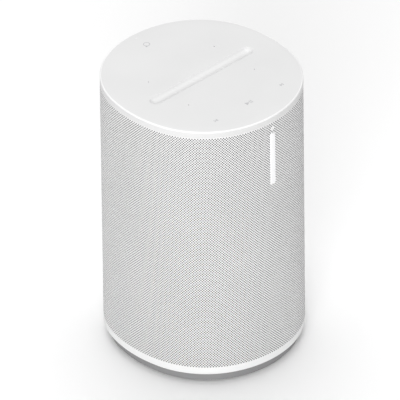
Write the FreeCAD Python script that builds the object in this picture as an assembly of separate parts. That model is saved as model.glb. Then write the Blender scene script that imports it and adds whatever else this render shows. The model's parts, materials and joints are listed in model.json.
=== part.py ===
"""A compact two-way smart speaker: an oval perforated shell around a sealed woofer box, two angled
tweeters above it, a touch panel on top, a power supply below and a panel of ports at the back.

The frame is +Z up and -Y to the front, in millimetres, with the origin at the middle of the footprint
on the surface that the speaker stands on. Each piece is exported to parts/NAME.step.
"""

import FreeCAD
import Part
import math
import os
from FreeCAD import Matrix, Placement, Vector

# Overall body
body_width = 120.0
body_depth = 126.0
corner_shift = 5.0  # the four rounder corners have this much less radius than the narrower half
corner_ease = 0.9  # how far the corner arcs stay inside the faces they join

# Base and foot
base_height = 7.6  # from the surface to the lower edge of the shell
base_inset = 3.5
base_floor = 2.6
base_wall = 2.4
foot_height = 1.8
foot_seat = 0.6  # how deep the foot ring sits in the base
foot_inset = 2.5  # from the side of the base to the foot ring
foot_width = 11.0
spigot_height = 3.6  # the part of the base that stands inside the shell

# Shell, screen and cap
shell_wall = 2.2
shell_lip = 4.2
shell_lip_height = 2.0
tiny = 0.01
reach_tolerance = 0.001
full_turn = 360.0
fit_gap = 0.25  # between pieces that slot into each other
seam_gap = 0.12  # the line between shell and cap
screen_thickness = 0.4
cap_height = 4.4
cap_top = 3.0
cap_wall = 2.2
cap_tongue = 1.4
cap_tongue_depth = 2.4
cap_edge_radius = 0.9
trough_length = 86.0
trough_width = 8.0
trough_depth = 1.6

# Touch panel
mic_spacing_x = 56.2
mic_spacing_y = 35.8
mic_hole_radius = 0.55
voice_light_room = 0.35  # between the light and the tongue of the cap
light_radius = 0.6
film_thickness = 0.4
board_thickness = 1.6
top_board_drop = 3.6  # from the underside of the cap's top to the top board
mic_size = 3.4
mic_height = 1.1
mic_gasket_radius = 2.4
mic_gasket_bore = 0.9
led_size = 1.6
led_height = 0.7

# Front badge and status light
status_light_drop = 9.1  # below the top face
badge_drop = 12.4
badge_length = 37.4
badge_width = 4.0
badge_corner = 1.9
badge_proud = 0.5
badge_seat = 0.7  # how deep the badge sits in the shell

# Rear panel, from the lower edge of the shell upwards
panel_width = 38.0
panel_height = 68.0
panel_corner = 9.0
panel_rise = 5.6
panel_recess = 0.3
panel_gap = 0.15
panel_wall = 3.2
panel_flange = 3.0
flange_wall = 1.3
panel_lap = 1.0  # how far the pieces behind the panel run into it
pocket_width = 25.0
pocket_height = 17.0
pocket_corner = 4.0
pocket_depth = 12.0
pocket_wall = 1.6
pocket_rise = 4.0
usb_rise = 32.5
switch_rise = 45.0
button_rise = 57.5

# Ports and controls
inlet_width = 21.0
inlet_height = 12.6
inlet_depth = 13.0
inlet_lobe_radius = 4.2
inlet_bridge = 6.0
pin_spacing = 8.6
pin_radius = 1.18
pin_length = 7.0
socket_depth = 9.0
usb_width = 8.94
usb_height = 3.2
usb_length = 10.4
usb_wall = 0.3
usb_corner = 1.5
usb_floor = 3.0
usb_tongue = 0.7
usb_tongue_width = 5.96
usb_tongue_drop = 1.0  # from the mouth of the socket
usb_setback = 0.3
button_radius = 4.0
button_gap = 0.15
button_proud = 0.5
button_flange = 1.0
button_travel = 0.6
button_edge = 0.4
stem_gap = 0.1
tact_size = 6.0
tact_height = 3.4
knob_width = 4.0
knob_height = 3.4
knob_gap = 0.25
knob_travel = 3.2
knob_proud = 0.2
knob_drop = 0.5  # its skirt lies this far behind the button's
ridge_gap = 0.4
ridge_spacing = 1.0
ridge_depth = 0.3
slot_corner = 0.8
stem_radius = 1.3
knob_flange = 2.0  # beyond the slot
control_flange_wall = 1.0
control_clearance = 0.4  # behind the panel, which is curved
switch_width = 10.0
switch_height = 5.0
switch_depth = 3.6
port_board_width = 30.0
port_board_clearance = 2.0  # above the inlet's pocket
port_board_margin = 4.0  # above the button

# Sealed woofer box
core_gap = 1.2  # between the screen and everything inside it
box_wall = 2.5
baffle_thickness = 4.0
baffle_margin = 3.0  # baffle outside the woofer frame
gasket_thickness = 1.0
power_bay_height = 35.0
tweeter_bay_height = 34.0
top_bay_height = 22.8
electronics_depth = 27.0  # behind the woofer box
leg_radius = 4.5
leg_socket_wall = 1.0
leg_inset_x = 9.4  # from the narrowest of the core beside the legs
leg_setback = 6.5  # from the front and the back of the box
leg_hold = 4.0  # base plastic between a screw head and the leg
screw_radius = 1.5
screw_clearance = 0.2
head_radius = 2.8
head_height = 1.9
head_edge = 0.8
cross_reach = 1.6
cross_width = 0.7
cross_depth = 1.0
screw_length = 9.0
boss_radius = 3.4
boss_length = 10.0
corner_screw_inset = 5.5  # from the edges of the woofer opening's square

# Woofer, along its own axis from the front of the baffle
woofer_radius = 40.0
flange_thickness = 2.5
woofer_gasket_thickness = 0.8
ledge_width = 2.5
ledge_thickness = 0.8
basket_mouth = 34.0
basket_back = 25.5
basket_depth = 22.0
basket_wall = 1.6
basket_window = 26.0  # degrees
basket_window_count = 6
window_lap = 1.0
window_reach = 4.0
window_rise = 2.0
window_drop = 3.5
opening_clearance = 0.5
cone_radius = 29.5
cone_depth = 16.0
cone_wall = 0.5
cone_shoulder = 1.0
dust_cap_radius = 13.5
dust_cap_rise = 4.0
surround_wall = 0.5
surround_land = 1.2
coil_radius = 11.0
coil_wall = 0.4
coil_length = 15.0
coil_lap = 1.0  # how far it stands inside the cone
winding_wall = 0.6
winding_length = 9.0
spider_seat_radius = 22.5
spider_seat_width = 2.0
spider_seat_height = 3.5
spider_wall = 0.4
spider_waves = 3
spider_swing = 0.4
pole_radius = 10.0
magnetic_gap = 0.7
top_plate_radius = 26.0
top_plate_thickness = 4.0
magnet_radius = 29.0
magnet_bore = 15.0
magnet_thickness = 10.0
yoke_radius = 28.0
yoke_thickness = 4.5
woofer_screw_count = 6
woofer_screw_turn = 30.0  # degrees from level

# Tweeters
tweeter_angle = 50.0  # each side of straight ahead
housing_back = 4.0  # how far the housing reaches behind the middle
guide_width = 42.0
guide_height = 31.0
guide_corner = 6.0
guide_depth = 7.0
guide_mouth = 14.0
guide_floor = 3.0  # plastic under a screw head
throat_radius = 11.2
dome_radius = 9.6
dome_rise = 3.4
dome_wall = 0.3
roll_width = 1.5
roll_wall = 0.3
motor_radius = 13.0
motor_depth = 13.0
motor_wall = 2.6
motor_pole_radius = 7.6
motor_clearance = 0.5
motor_hollow = 2.0  # in front of the dome
tip_gap = 0.2
coil_room = 0.6
roll_lift = 0.9
roll_rise = 0.3
throat_length = 1.0
flare_step = 0.8
flare_share = 0.62
well_room = 1.0
voice_coil_radius = 8.9
voice_coil_wall = 0.5
voice_coil_length = 5.0

# Carrier, boards and leads
carrier_thickness = 2.5
carrier_leg_radius = 4.2
tie_inset = 9.0  # from the edge of the core to the tie screws
tie_grip = 8.0
tie_sink = 1.9
top_board_room = 2.2  # between the top board and the carrier
cap_boss_radius = 3.4
cap_boss_x = 36.0
cap_boss_y = 28.0
top_board_inset = 4.3
main_board_gap = 6.0  # between the woofer box and the main board
main_board_margin = 3.0
power_board_rise = 5.0  # above the top of the base
power_board_gap = 3.0  # between the power board and the legs
power_board_front_room = 21.0  # between the board and the outline of the core
power_board_back_room = 25.0
post_inset = 6.0  # from the edges of a board to its screws
transformer_width = 26.0
transformer_depth = 24.0
transformer_height = 20.0
part_gap = 3.0  # between the transformer and the capacitors
capacitor_radius = 7.0
capacitor_height = 22.0
capacitor_spacing = 34.0
capacitor_inset = 20.0  # from the back of the power board
antenna_thickness = 0.8
antenna_room = 2.2  # between the antennas and the outline of the core
terminal_width = 12.0
terminal_depth = 4.0
terminal_drop = 3.0
terminal_grip = 4.0
mains_lead_room = 8.7  # between the inlet and the leads that go down in front of it
supply_lead_x = 15.0
supply_lead_inset = 4.0  # from the back of the power board
supply_lead_drop = 5.0
supply_lead_room = 4.6
supply_lead_rise = 5.0
tweeter_lead_x = 16.0
tweeter_lead_drop = 5.0
ribbon_grip = 6.0
lead_rise = 2.6
heat_sink_height = 34.0
heat_sink_width = 44.0
heat_sink_depth = 9.0
sink_gap = 5.0  # above the port board
chip_width = 12.0
chip_height = 1.2
can_width = 20.0
can_length = 18.0
can_height = 2.6
can_rise = 16.0
can_spacing = 30.0
fin_count = 8
fin_thickness = 1.6
antenna_width = 20.0
antenna_height = 9.0
antenna_spacing = 46.0
lead_radius = 0.9
lead_hole_gap = 0.08
lead_bend = 3.0
lead_spacing = 5.0
ribbon_width = 8.0
ribbon_thickness = 0.4
ribbon_room = 1.0

# Levels and outlines that follow from the sizes above
half_width = body_width / 2
half_depth = body_depth / 2
base_underside = foot_height - foot_seat
base_top = base_height + spigot_height
box_bottom = base_top + power_bay_height
box_top = box_bottom + 2 * (woofer_radius + baffle_margin)
woofer_z = (box_bottom + box_top) / 2
housing_top = box_top + tweeter_bay_height
body_height = housing_top + top_bay_height
cap_bottom = body_height - cap_height
shell_top = cap_bottom - seam_gap
cap_underside = body_height - cap_top
tongue_bottom = cap_bottom - cap_tongue_depth
screen_inset = shell_wall + fit_gap
core_inset = screen_inset + screen_thickness + core_gap
core_half_width = half_width - core_inset
core_half_depth = half_depth - core_inset
top_board_top = cap_underside - top_board_drop
top_board_bottom = top_board_top - board_thickness
carrier_top = top_board_bottom - top_board_room
carrier_bottom = carrier_top - carrier_thickness
panel_bottom = base_height + panel_rise
panel_z = panel_bottom + panel_height / 2
panel_face = half_depth - panel_recess
panel_back = panel_face - panel_wall
port_board_face = panel_face - usb_setback - usb_length
pocket_floor = panel_face - pocket_depth
pocket_top = panel_bottom + pocket_rise + pocket_height + pocket_wall
inlet_z = panel_bottom + pocket_rise + pocket_height / 2
usb_z = panel_bottom + usb_rise
switch_z = panel_bottom + switch_rise
button_z = panel_bottom + button_rise

corner_radius = min(half_width, half_depth) - corner_shift
corner_x = half_width - corner_radius - corner_ease
corner_y = half_depth - corner_radius - corner_ease


def face_radius(off_axis):
    """Radius of the arc across an axis that runs on into a corner arc centred off_axis from it."""
    near = corner_radius + corner_ease
    return (near**2 + off_axis**2 - corner_radius**2) / (2 * corner_ease)


side_radius = face_radius(corner_y)
front_radius = face_radius(corner_x)
side_centre = half_width - side_radius
front_centre = half_depth - front_radius
side_turn = math.atan2(corner_y, corner_x - side_centre)
front_turn = math.atan2(corner_y - front_centre, corner_x)


def outline(inset, z=0.0):
    """The oval outline of the body, moved inwards by inset."""
    half_turn = math.pi
    arcs = (
        (side_centre, 0, side_radius, -side_turn, side_turn),
        (corner_x, corner_y, corner_radius, side_turn, front_turn),
        (0, front_centre, front_radius, front_turn, half_turn - front_turn),
        (-corner_x, corner_y, corner_radius, half_turn - front_turn, half_turn - side_turn),
        (-side_centre, 0, side_radius, half_turn - side_turn, half_turn + side_turn),
        (-corner_x, -corner_y, corner_radius, half_turn + side_turn, half_turn + front_turn),
        (0, -front_centre, front_radius, half_turn + front_turn, 2 * half_turn - front_turn),
        (corner_x, -corner_y, corner_radius, -front_turn, -side_turn),
    )
    edges = []
    for x, y, radius, start, end in arcs:
        points = [
            Vector(x + (radius - inset) * math.cos(t), y + (radius - inset) * math.sin(t), z)
            for t in (start, (start + end) / 2, end)
        ]
        edges.append(Part.Arc(*points).toShape())
    return Part.Wire(edges)


def half_depth_at(x, inset):
    """How far the outline reaches along Y at this x."""
    corner_start = (front_radius - inset) * math.cos(front_turn)
    corner_end = side_centre + (side_radius - inset) * math.cos(side_turn)
    if abs(x) <= corner_start:
        return front_centre + math.sqrt((front_radius - inset) ** 2 - x**2)
    if abs(x) <= corner_end:
        return corner_y + math.sqrt((corner_radius - inset) ** 2 - (abs(x) - corner_x) ** 2)
    return math.sqrt((side_radius - inset) ** 2 - (abs(x) - side_centre) ** 2)


# Shape helpers
def block(x0, x1, y0, y1, z0, z1):
    return Part.makeBox(x1 - x0, y1 - y0, z1 - z0, Vector(x0, y0, z0))


def rod(radius, start, end):
    start, end = Vector(*start), Vector(*end)
    return Part.makeCylinder(radius, (end - start).Length, start, end - start)


def pipe(outer, inner, start, end):
    return rod(outer, start, end).cut(rod(inner, start, end))


def oval_block(inset, z0, z1):
    return Part.Face(outline(inset, z0)).extrude(Vector(0, 0, z1 - z0))


def oval_tube(outer_inset, inner_inset, z0, z1):
    return oval_block(outer_inset, z0, z1).cut(oval_block(inner_inset, z0, z1))


def rounded_plate(width, height, corner, z0, z1):
    """A plate with rounded corners in the local XY plane."""
    plate = block(-width / 2, width / 2, -height / 2, height / 2, z0, z1)
    upright = [e for e in plate.Edges if abs(e.tangentAt(e.FirstParameter).z) > 0.99]
    return plate.makeFillet(corner, upright)


def spun(start, *steps):
    """A solid turned round the local Z axis from (radius, z) points. A step of two points is an arc
    through the first to the second."""
    edges = []
    here = Vector(start[0], 0, start[1])
    for step in steps + (start,):
        if isinstance(step[0], tuple):
            middle, end = (Vector(p[0], 0, p[1]) for p in step)
            edges.append(Part.Arc(here, middle, end).toShape())
        else:
            end = Vector(step[0], 0, step[1])
            edges.append(Part.makeLine(here, end))
        here = end
    solid = Part.Face(Part.Wire(edges)).revolve(Vector(), Vector(0, 0, 1), 360)
    if solid.Volume < 0:
        solid.reverse()
    return solid


def dome_curve(radius, rise, z, outwards=False):
    """A step for spun: the arc of a ball's cap between its rim and its top."""
    ball = (radius**2 + rise**2) / (2 * rise)
    middle = (radius / 2, z + rise - ball + math.sqrt(ball**2 - (radius / 2) ** 2))
    return (middle, (radius, z)) if outwards else (middle, (0, z + rise))


def facing(direction, place):
    """The placement that turns local Z to a level direction and local Y to up."""
    z = Vector(*direction).normalize()
    y = Vector(0, 0, 1)
    x = y.cross(z)
    turned = Matrix(
        x.x, y.x, z.x, place[0],
        x.y, y.y, z.y, place[1],
        x.z, y.z, z.z, place[2],
        0, 0, 0, 1,
    )
    return Placement(turned)


def put(shape, placement):
    moved = shape.copy()
    moved.Placement = placement.multiply(moved.Placement)
    return moved


def joined(shapes):
    return shapes[0].multiFuse(shapes[1:]).removeSplitter()


def bent_lead(points, radius=lead_radius, bend=lead_bend):
    """A round lead of straight runs joined by tangent arcs."""
    corners = [Vector(*p) for p in points]
    edges = []
    here = corners[0]
    for before, corner, after in zip(corners, corners[1:], corners[2:]):
        coming = (corner - before).normalize()
        going = (after - corner).normalize()
        turn = coming.getAngle(going)
        cut = bend * math.tan(turn / 2)
        start, end = corner - coming * cut, corner + going * cut
        inwards = (going - coming).normalize()
        middle = corner + inwards * (bend / math.cos(turn / 2) - bend)
        edges += [Part.makeLine(here, start), Part.Arc(start, middle, end).toShape()]
        here = end
    edges.append(Part.makeLine(here, corners[-1]))
    along = Vector(*points[1]) - Vector(*points[0])
    section = Part.Wire(Part.makeCircle(radius, corners[0], along))
    return Part.Wire(edges).makePipeShell([section], True, False)


def pan_screw(tip_length):
    """A pan head screw whose head stands on local Z 0 and whose shank runs down."""
    head = rod(head_radius, (0, 0, 0), (0, 0, head_height))
    head = head.makeFillet(head_edge, [e for e in head.Edges if e.BoundBox.ZMin > head_height - tiny])
    half = cross_width / 2
    low, high = head_height - cross_depth, head_height + cross_depth
    cross = block(-cross_reach, cross_reach, -half, half, low, high)
    cross = cross.fuse(block(-half, half, -cross_reach, cross_reach, low, high))
    return head.fuse(rod(screw_radius, (0, 0, -tip_length), (0, 0, 0))).cut(cross)


def screw_at(place, direction, tip_length=screw_length):
    """A screw whose head looks in a direction, standing on the plane through place."""
    upright = Placement(Vector(*place), FreeCAD.Rotation(Vector(0, 0, 1), Vector(*direction)))
    return put(pan_screw(tip_length), upright)


def half_width_at(y, inset):
    """How far the outline reaches along X at this y."""
    corner_start = (side_radius - inset) * math.sin(side_turn)
    corner_end = front_centre + (front_radius - inset) * math.sin(front_turn)
    if abs(y) <= corner_start:
        return side_centre + math.sqrt((side_radius - inset) ** 2 - y**2)
    if abs(y) <= corner_end:
        return corner_x + math.sqrt((corner_radius - inset) ** 2 - (abs(y) - corner_y) ** 2)
    return math.sqrt((front_radius - inset) ** 2 - (abs(y) - front_centre) ** 2)


parts = {}


def keep(name, *solids):
    parts[name] = solids[0] if len(solids) == 1 else Part.makeCompound(list(solids))


backwards = (0, 1, 0)
forwards = (0, -1, 0)


def stands_inside(x, y, inset):
    return abs(y) < half_depth - inset and abs(x) < half_width_at(y, inset)


def face_reach(angle):
    """How far out a flat front as wide as a waveguide can stand inside the core."""
    turn = math.radians(angle)
    near, far = 0.0, half_width + half_depth
    while far - near > reach_tolerance:
        middle = (near + far) / 2
        ends = [(middle * math.sin(turn) + e * math.cos(turn), e * math.sin(turn) - middle * math.cos(turn))
                for e in (-guide_width / 2, guide_width / 2)]
        if all(stands_inside(x, y, core_inset) for x, y in ends):
            near = middle
        else:
            far = middle
    return near


# Planes and spots inside the core that several pieces share
woofer_room = half_depth_at(woofer_radius, core_inset - core_gap + fit_gap) - woofer_gasket_thickness
baffle_front = -min(half_depth_at(woofer_radius + baffle_margin, core_inset), woofer_room - flange_thickness)
baffle_back = baffle_front + baffle_thickness
box_front = baffle_back + gasket_thickness
box_back = core_half_depth - electronics_depth
main_board_face = box_back + main_board_gap + board_thickness
board_bottom = box_bottom + main_board_margin
board_top = box_top - main_board_margin
board_reach = half_width_at(main_board_face + heat_sink_depth, core_inset) - main_board_margin
port_board_bottom = pocket_top + port_board_clearance
port_board_top = button_z + button_radius + port_board_margin
status_light_z = body_height - status_light_drop
voice_light_y = half_depth - screen_inset - cap_tongue - voice_light_room - light_radius
inlet_back = pocket_floor - inlet_depth
mains_lead_y = inlet_back - mains_lead_room
power_board_front = core_half_depth - power_board_front_room
power_board_back = core_half_depth - power_board_back_room
supply_lead_y = power_board_back - supply_lead_inset
capacitor_y = power_board_back - capacitor_inset
transformer_y = capacitor_y - capacitor_radius - part_gap - transformer_depth
antenna_reach = half_depth_at(antenna_spacing / 2 + antenna_width / 2, core_inset)
antenna_y = antenna_reach - antenna_room - antenna_thickness
led_y = half_depth - top_board_inset - led_size
leg_ys = (box_front + leg_setback, box_back - leg_setback)
leg_x = min(half_width_at(y, core_inset) for y in leg_ys) - leg_inset_x
power_post_x = leg_x - leg_radius - power_board_gap - post_inset
tweeter_z = box_top + tweeter_bay_height / 2
seat_distance = face_reach(tweeter_angle) - guide_depth
woofer_lead_z = box_bottom + box_wall + lead_rise
hole_radius = screw_radius + screw_clearance


def pairs(xs, ys):
    return [(x, y) for x in xs for y in ys]


def both(size):
    return (-size, size)


mic_spots = pairs(both(mic_spacing_x / 2), both(mic_spacing_y / 2))
leg_spots = pairs(both(leg_x), leg_ys)
corner_reach = woofer_radius + baffle_margin - corner_screw_inset
corner_spots = pairs(both(corner_reach), (woofer_z - corner_reach, woofer_z + corner_reach))
tie_x = core_half_width - tie_inset
tie_spots = [(0, box_front + tie_inset), (-tie_x, 0), (tie_x, 0)]
cap_boss_spots = pairs(both(cap_boss_x), both(cap_boss_y))
power_post_ys = (post_inset - power_board_front, power_board_back - post_inset)
power_post_spots = pairs(both(power_post_x), power_post_ys)
board_spots = pairs(both(board_reach - post_inset), (board_bottom + post_inset, board_top - post_inset))
port_screw_spots = pairs(both(port_board_width / 2 - boss_radius),
                         (port_board_bottom + boss_radius, port_board_top - boss_radius))
pin_spots = both(pin_spacing / 2)


def make_base():
    plinth = oval_block(base_inset, base_underside, base_height)
    plinth = plinth.cut(oval_block(base_inset + base_wall, base_underside + base_floor, base_height))
    spigot_inset = shell_lip + fit_gap
    spigot = oval_tube(spigot_inset, spigot_inset + base_wall, base_underside + base_floor, base_top)
    floor = base_underside + base_floor
    bosses = [rod(leg_radius + leg_socket_wall, (x, y, floor), (x, y, base_top)) for x, y in leg_spots]
    posts = [rod(boss_radius, (x, y, base_underside + base_floor), (x, y, base_top + power_board_rise))
             for x, y in power_post_spots]
    base = joined([plinth, spigot] + bosses + posts)
    ring_inset = base_inset + foot_inset
    base = base.cut(oval_tube(ring_inset, ring_inset + foot_width, base_underside, foot_height))
    for x, y in leg_spots:
        well = rod(head_radius + screw_clearance, (x, y, base_underside), (x, y, base_top - leg_hold))
        base = base.cut(well).cut(rod(hole_radius, (x, y, base_underside), (x, y, base_top)))
    for x, y in power_post_spots:
        top = base_top + power_board_rise
        pilot = rod(screw_radius, (x, y, top + board_thickness - screw_length), (x, y, top))
        base = base.cut(pilot)
    keep("base", base)
    keep("foot_ring", oval_tube(ring_inset, ring_inset + foot_width, 0, foot_height))
    tip = leg_hold + screw_length
    keep("base_screws", *[screw_at((x, y, base_top - leg_hold), (0, 0, -1), tip) for x, y in leg_spots])


def upright_plate(width, height, corner, y0, y1, z):
    """A plate with rounded corners that stands across Y, from y0 to y1, centred at height z."""
    plate = rounded_plate(width, height, corner, 0, y1 - y0)
    return put(plate, facing(backwards, (0, y0, z)))


def make_shell():
    shell = oval_tube(0, shell_wall, base_height, shell_top)
    shell = shell.fuse(oval_tube(0, shell_lip, base_height, base_height + shell_lip_height)).removeSplitter()
    opening = upright_plate(panel_width + 2 * panel_gap, panel_height + 2 * panel_gap,
                            panel_corner + panel_gap, 0, body_depth, panel_z)
    shell = shell.cut(opening)
    shell = shell.cut(rod(light_radius, (0, 0, status_light_z), (0, -body_depth, status_light_z)))
    keep("shell", shell.cut(badge_solid()))

    low = base_height + shell_lip_height
    screen = oval_tube(screen_inset, screen_inset + screen_thickness, low, tongue_bottom - fit_gap)
    beyond = 2 * (panel_flange + fit_gap)
    behind = upright_plate(panel_width + beyond, panel_height + beyond, panel_corner, 0, body_depth, panel_z)
    pipe_hole = rod(light_radius + fit_gap, (0, 0, status_light_z), (0, -body_depth, status_light_z))
    keep("dust_screen", screen.cut(behind).cut(pipe_hole))
    keep("badge", badge_solid())


def badge_solid():
    front = -half_depth - badge_proud
    z = body_height - badge_drop - badge_length / 2
    return upright_plate(badge_width, badge_length, badge_corner, front, -half_depth + badge_seat, z)


def trough():
    """The long shallow hollow in the top, a ball's path cut off by the top face."""
    half = trough_width / 2
    radius = (half**2 + trough_depth**2) / (2 * trough_depth)
    z = body_height + radius - trough_depth
    reach = trough_length / 2 - half
    ends = [Part.makeSphere(radius, Vector(x, 0, z)) for x in (-reach, reach)]
    return joined([rod(radius, (-reach, 0, z), (reach, 0, z))] + ends)


def make_cap():
    cap = oval_block(0, cap_bottom, body_height)
    rim = [e for e in cap.Edges if e.BoundBox.ZMin > body_height - tiny]
    cap = cap.makeFillet(cap_edge_radius, rim)
    cap = cap.cut(oval_block(cap_wall, cap_bottom, cap_underside))
    tongue = oval_tube(screen_inset, screen_inset + cap_tongue, tongue_bottom, cap_underside)
    bosses = [rod(cap_boss_radius, (x, y, carrier_top), (x, y, cap_underside)) for x, y in cap_boss_spots]
    cap = joined([cap, tongue] + bosses).cut(trough())
    for x, y in mic_spots:
        cap = cap.cut(rod(mic_hole_radius, (x, y, cap_underside), (x, y, body_height)))
    pilot_top = carrier_top + screw_length - carrier_thickness
    for x, y in cap_boss_spots:
        cap = cap.cut(rod(screw_radius, (x, y, carrier_top), (x, y, pilot_top)))
    cap = cap.cut(rod(light_radius, (0, voice_light_y, cap_underside), (0, voice_light_y, body_height)))
    keep("cap", cap)


def make_touch_panel():
    film = oval_block(top_board_inset, cap_underside - film_thickness, cap_underside)
    board = oval_block(top_board_inset, top_board_bottom, top_board_top)
    for x, y in cap_boss_spots:
        room = cap_boss_radius + fit_gap
        film = film.cut(rod(room, (x, y, 0), (x, y, body_height)))
        board = board.cut(rod(room, (x, y, 0), (x, y, body_height)))
    for x, y in mic_spots:
        film = film.cut(rod(mic_gasket_radius + fit_gap, (x, y, 0), (x, y, body_height)))
    film = film.cut(rod(light_radius + fit_gap, (0, voice_light_y, 0), (0, voice_light_y, body_height)))
    keep("touch_film", film)
    keep("top_board", board)
    half = mic_size / 2
    mic_top = top_board_top + mic_height
    keep("microphones", *[block(x - half, x + half, y - half, y + half, top_board_top, mic_top)
                          for x, y in mic_spots])
    keep("mic_gaskets", *[pipe(mic_gasket_radius, mic_gasket_bore, (x, y, mic_top), (x, y, cap_underside))
                          for x, y in mic_spots])
    half = led_size / 2
    top_led = block(-half, half, led_y - half, led_y + half, top_board_top, top_board_top + led_height)
    front_led = block(-half, half, -led_y - half, -led_y + half, top_board_bottom - led_size,
                      top_board_bottom)
    keep("leds", top_led, front_led)
    pipe_low = top_board_top + led_height + fit_gap
    top_pipe = rod(light_radius, (0, voice_light_y, pipe_low), (0, voice_light_y, body_height))
    front_pipe = rod(light_radius, (0, -led_y - half - fit_gap, status_light_z),
                     (0, -half_depth, status_light_z))
    keep("light_pipes", top_pipe, front_pipe)


def make_woofer_box():
    outer = oval_block(core_inset, box_bottom, box_top)
    inner = oval_block(core_inset + box_wall, box_bottom + box_wall, box_top - box_wall)
    shut = block(-body_width, body_width, box_front, box_back, 0, body_height)
    room = block(-body_width, body_width, box_front, box_back - box_wall, 0, body_height)
    box = outer.common(shut).cut(inner.common(room))
    legs = [rod(leg_radius, (x, y, base_top), (x, y, box_bottom + box_wall)) for x, y in leg_spots]
    corners = [rod(boss_radius, (x, box_front, z), (x, box_front + boss_length, z)) for x, z in corner_spots]
    ties = [rod(boss_radius, (x, y, box_top - boss_length), (x, y, box_top)) for x, y in tie_spots]
    bosses = [rod(boss_radius, (x, box_back, z), (x, box_back + main_board_gap, z)) for x, z in board_spots]
    box = joined([box] + legs + [c.common(outer) for c in corners] + ties + bosses)
    for x, y in leg_spots:
        box = box.cut(rod(screw_radius, (x, y, base_top), (x, y, base_top + screw_length)))
    for x, z in corner_spots:
        depth = screw_length - baffle_thickness - gasket_thickness
        box = box.cut(rod(screw_radius, (x, box_front, z), (x, box_front + depth, z)))
    for x, y in tie_spots:
        box = box.cut(rod(screw_radius, (x, y, box_top - tie_grip), (x, y, box_top)))
    for x, z in board_spots:
        depth = screw_length - board_thickness
        start = box_back + main_board_gap
        box = box.cut(rod(screw_radius, (x, start, z), (x, start - depth, z)))
    for x in (-lead_spacing / 2, lead_spacing / 2):
        box = box.cut(rod(lead_radius + lead_hole_gap, (x, 0, woofer_lead_z), (x, body_depth, woofer_lead_z)))
    keep("woofer_box", box)

    hole = rod(basket_mouth + basket_wall + opening_clearance, (0, -body_depth, woofer_z), (0, 0, woofer_z))
    baffle = oval_block(core_inset, box_bottom, box_top)
    baffle = baffle.common(block(-body_width, body_width, baffle_front, baffle_back, 0, body_height))
    gasket = oval_tube(core_inset, core_inset + box_wall, box_bottom, box_top)
    ends = oval_block(core_inset, box_bottom, box_top).cut(
        oval_block(core_inset, box_bottom + box_wall, box_top - box_wall))
    gasket = gasket.fuse(ends).common(
        block(-body_width, body_width, baffle_back, box_front, 0, body_height)).removeSplitter()
    pads = [rod(boss_radius, (x, baffle_back, z), (x, box_front, z)) for x, z in corner_spots]
    gasket = joined([gasket] + pads)
    for x, z in corner_spots:
        hole_line = rod(hole_radius, (x, baffle_front, z), (x, box_front, z))
        baffle = baffle.cut(hole_line)
        gasket = gasket.cut(hole_line)
    for x, z in woofer_screw_spots():
        baffle = baffle.cut(rod(screw_radius, (x, baffle_front, z), (x, baffle_back, z)))
    keep("baffle", baffle.cut(hole))
    keep("box_gasket", gasket)
    keep("baffle_screws", *[screw_at((x, baffle_front, z), forwards) for x, z in corner_spots])


def woofer_screw_spots():
    reach = (basket_mouth + ledge_width + woofer_radius) / 2
    step = full_turn / woofer_screw_count
    turns = [math.radians(woofer_screw_turn + step * i) for i in range(woofer_screw_count)]
    return [(reach * math.cos(t), woofer_z + reach * math.sin(t)) for t in turns]


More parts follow.
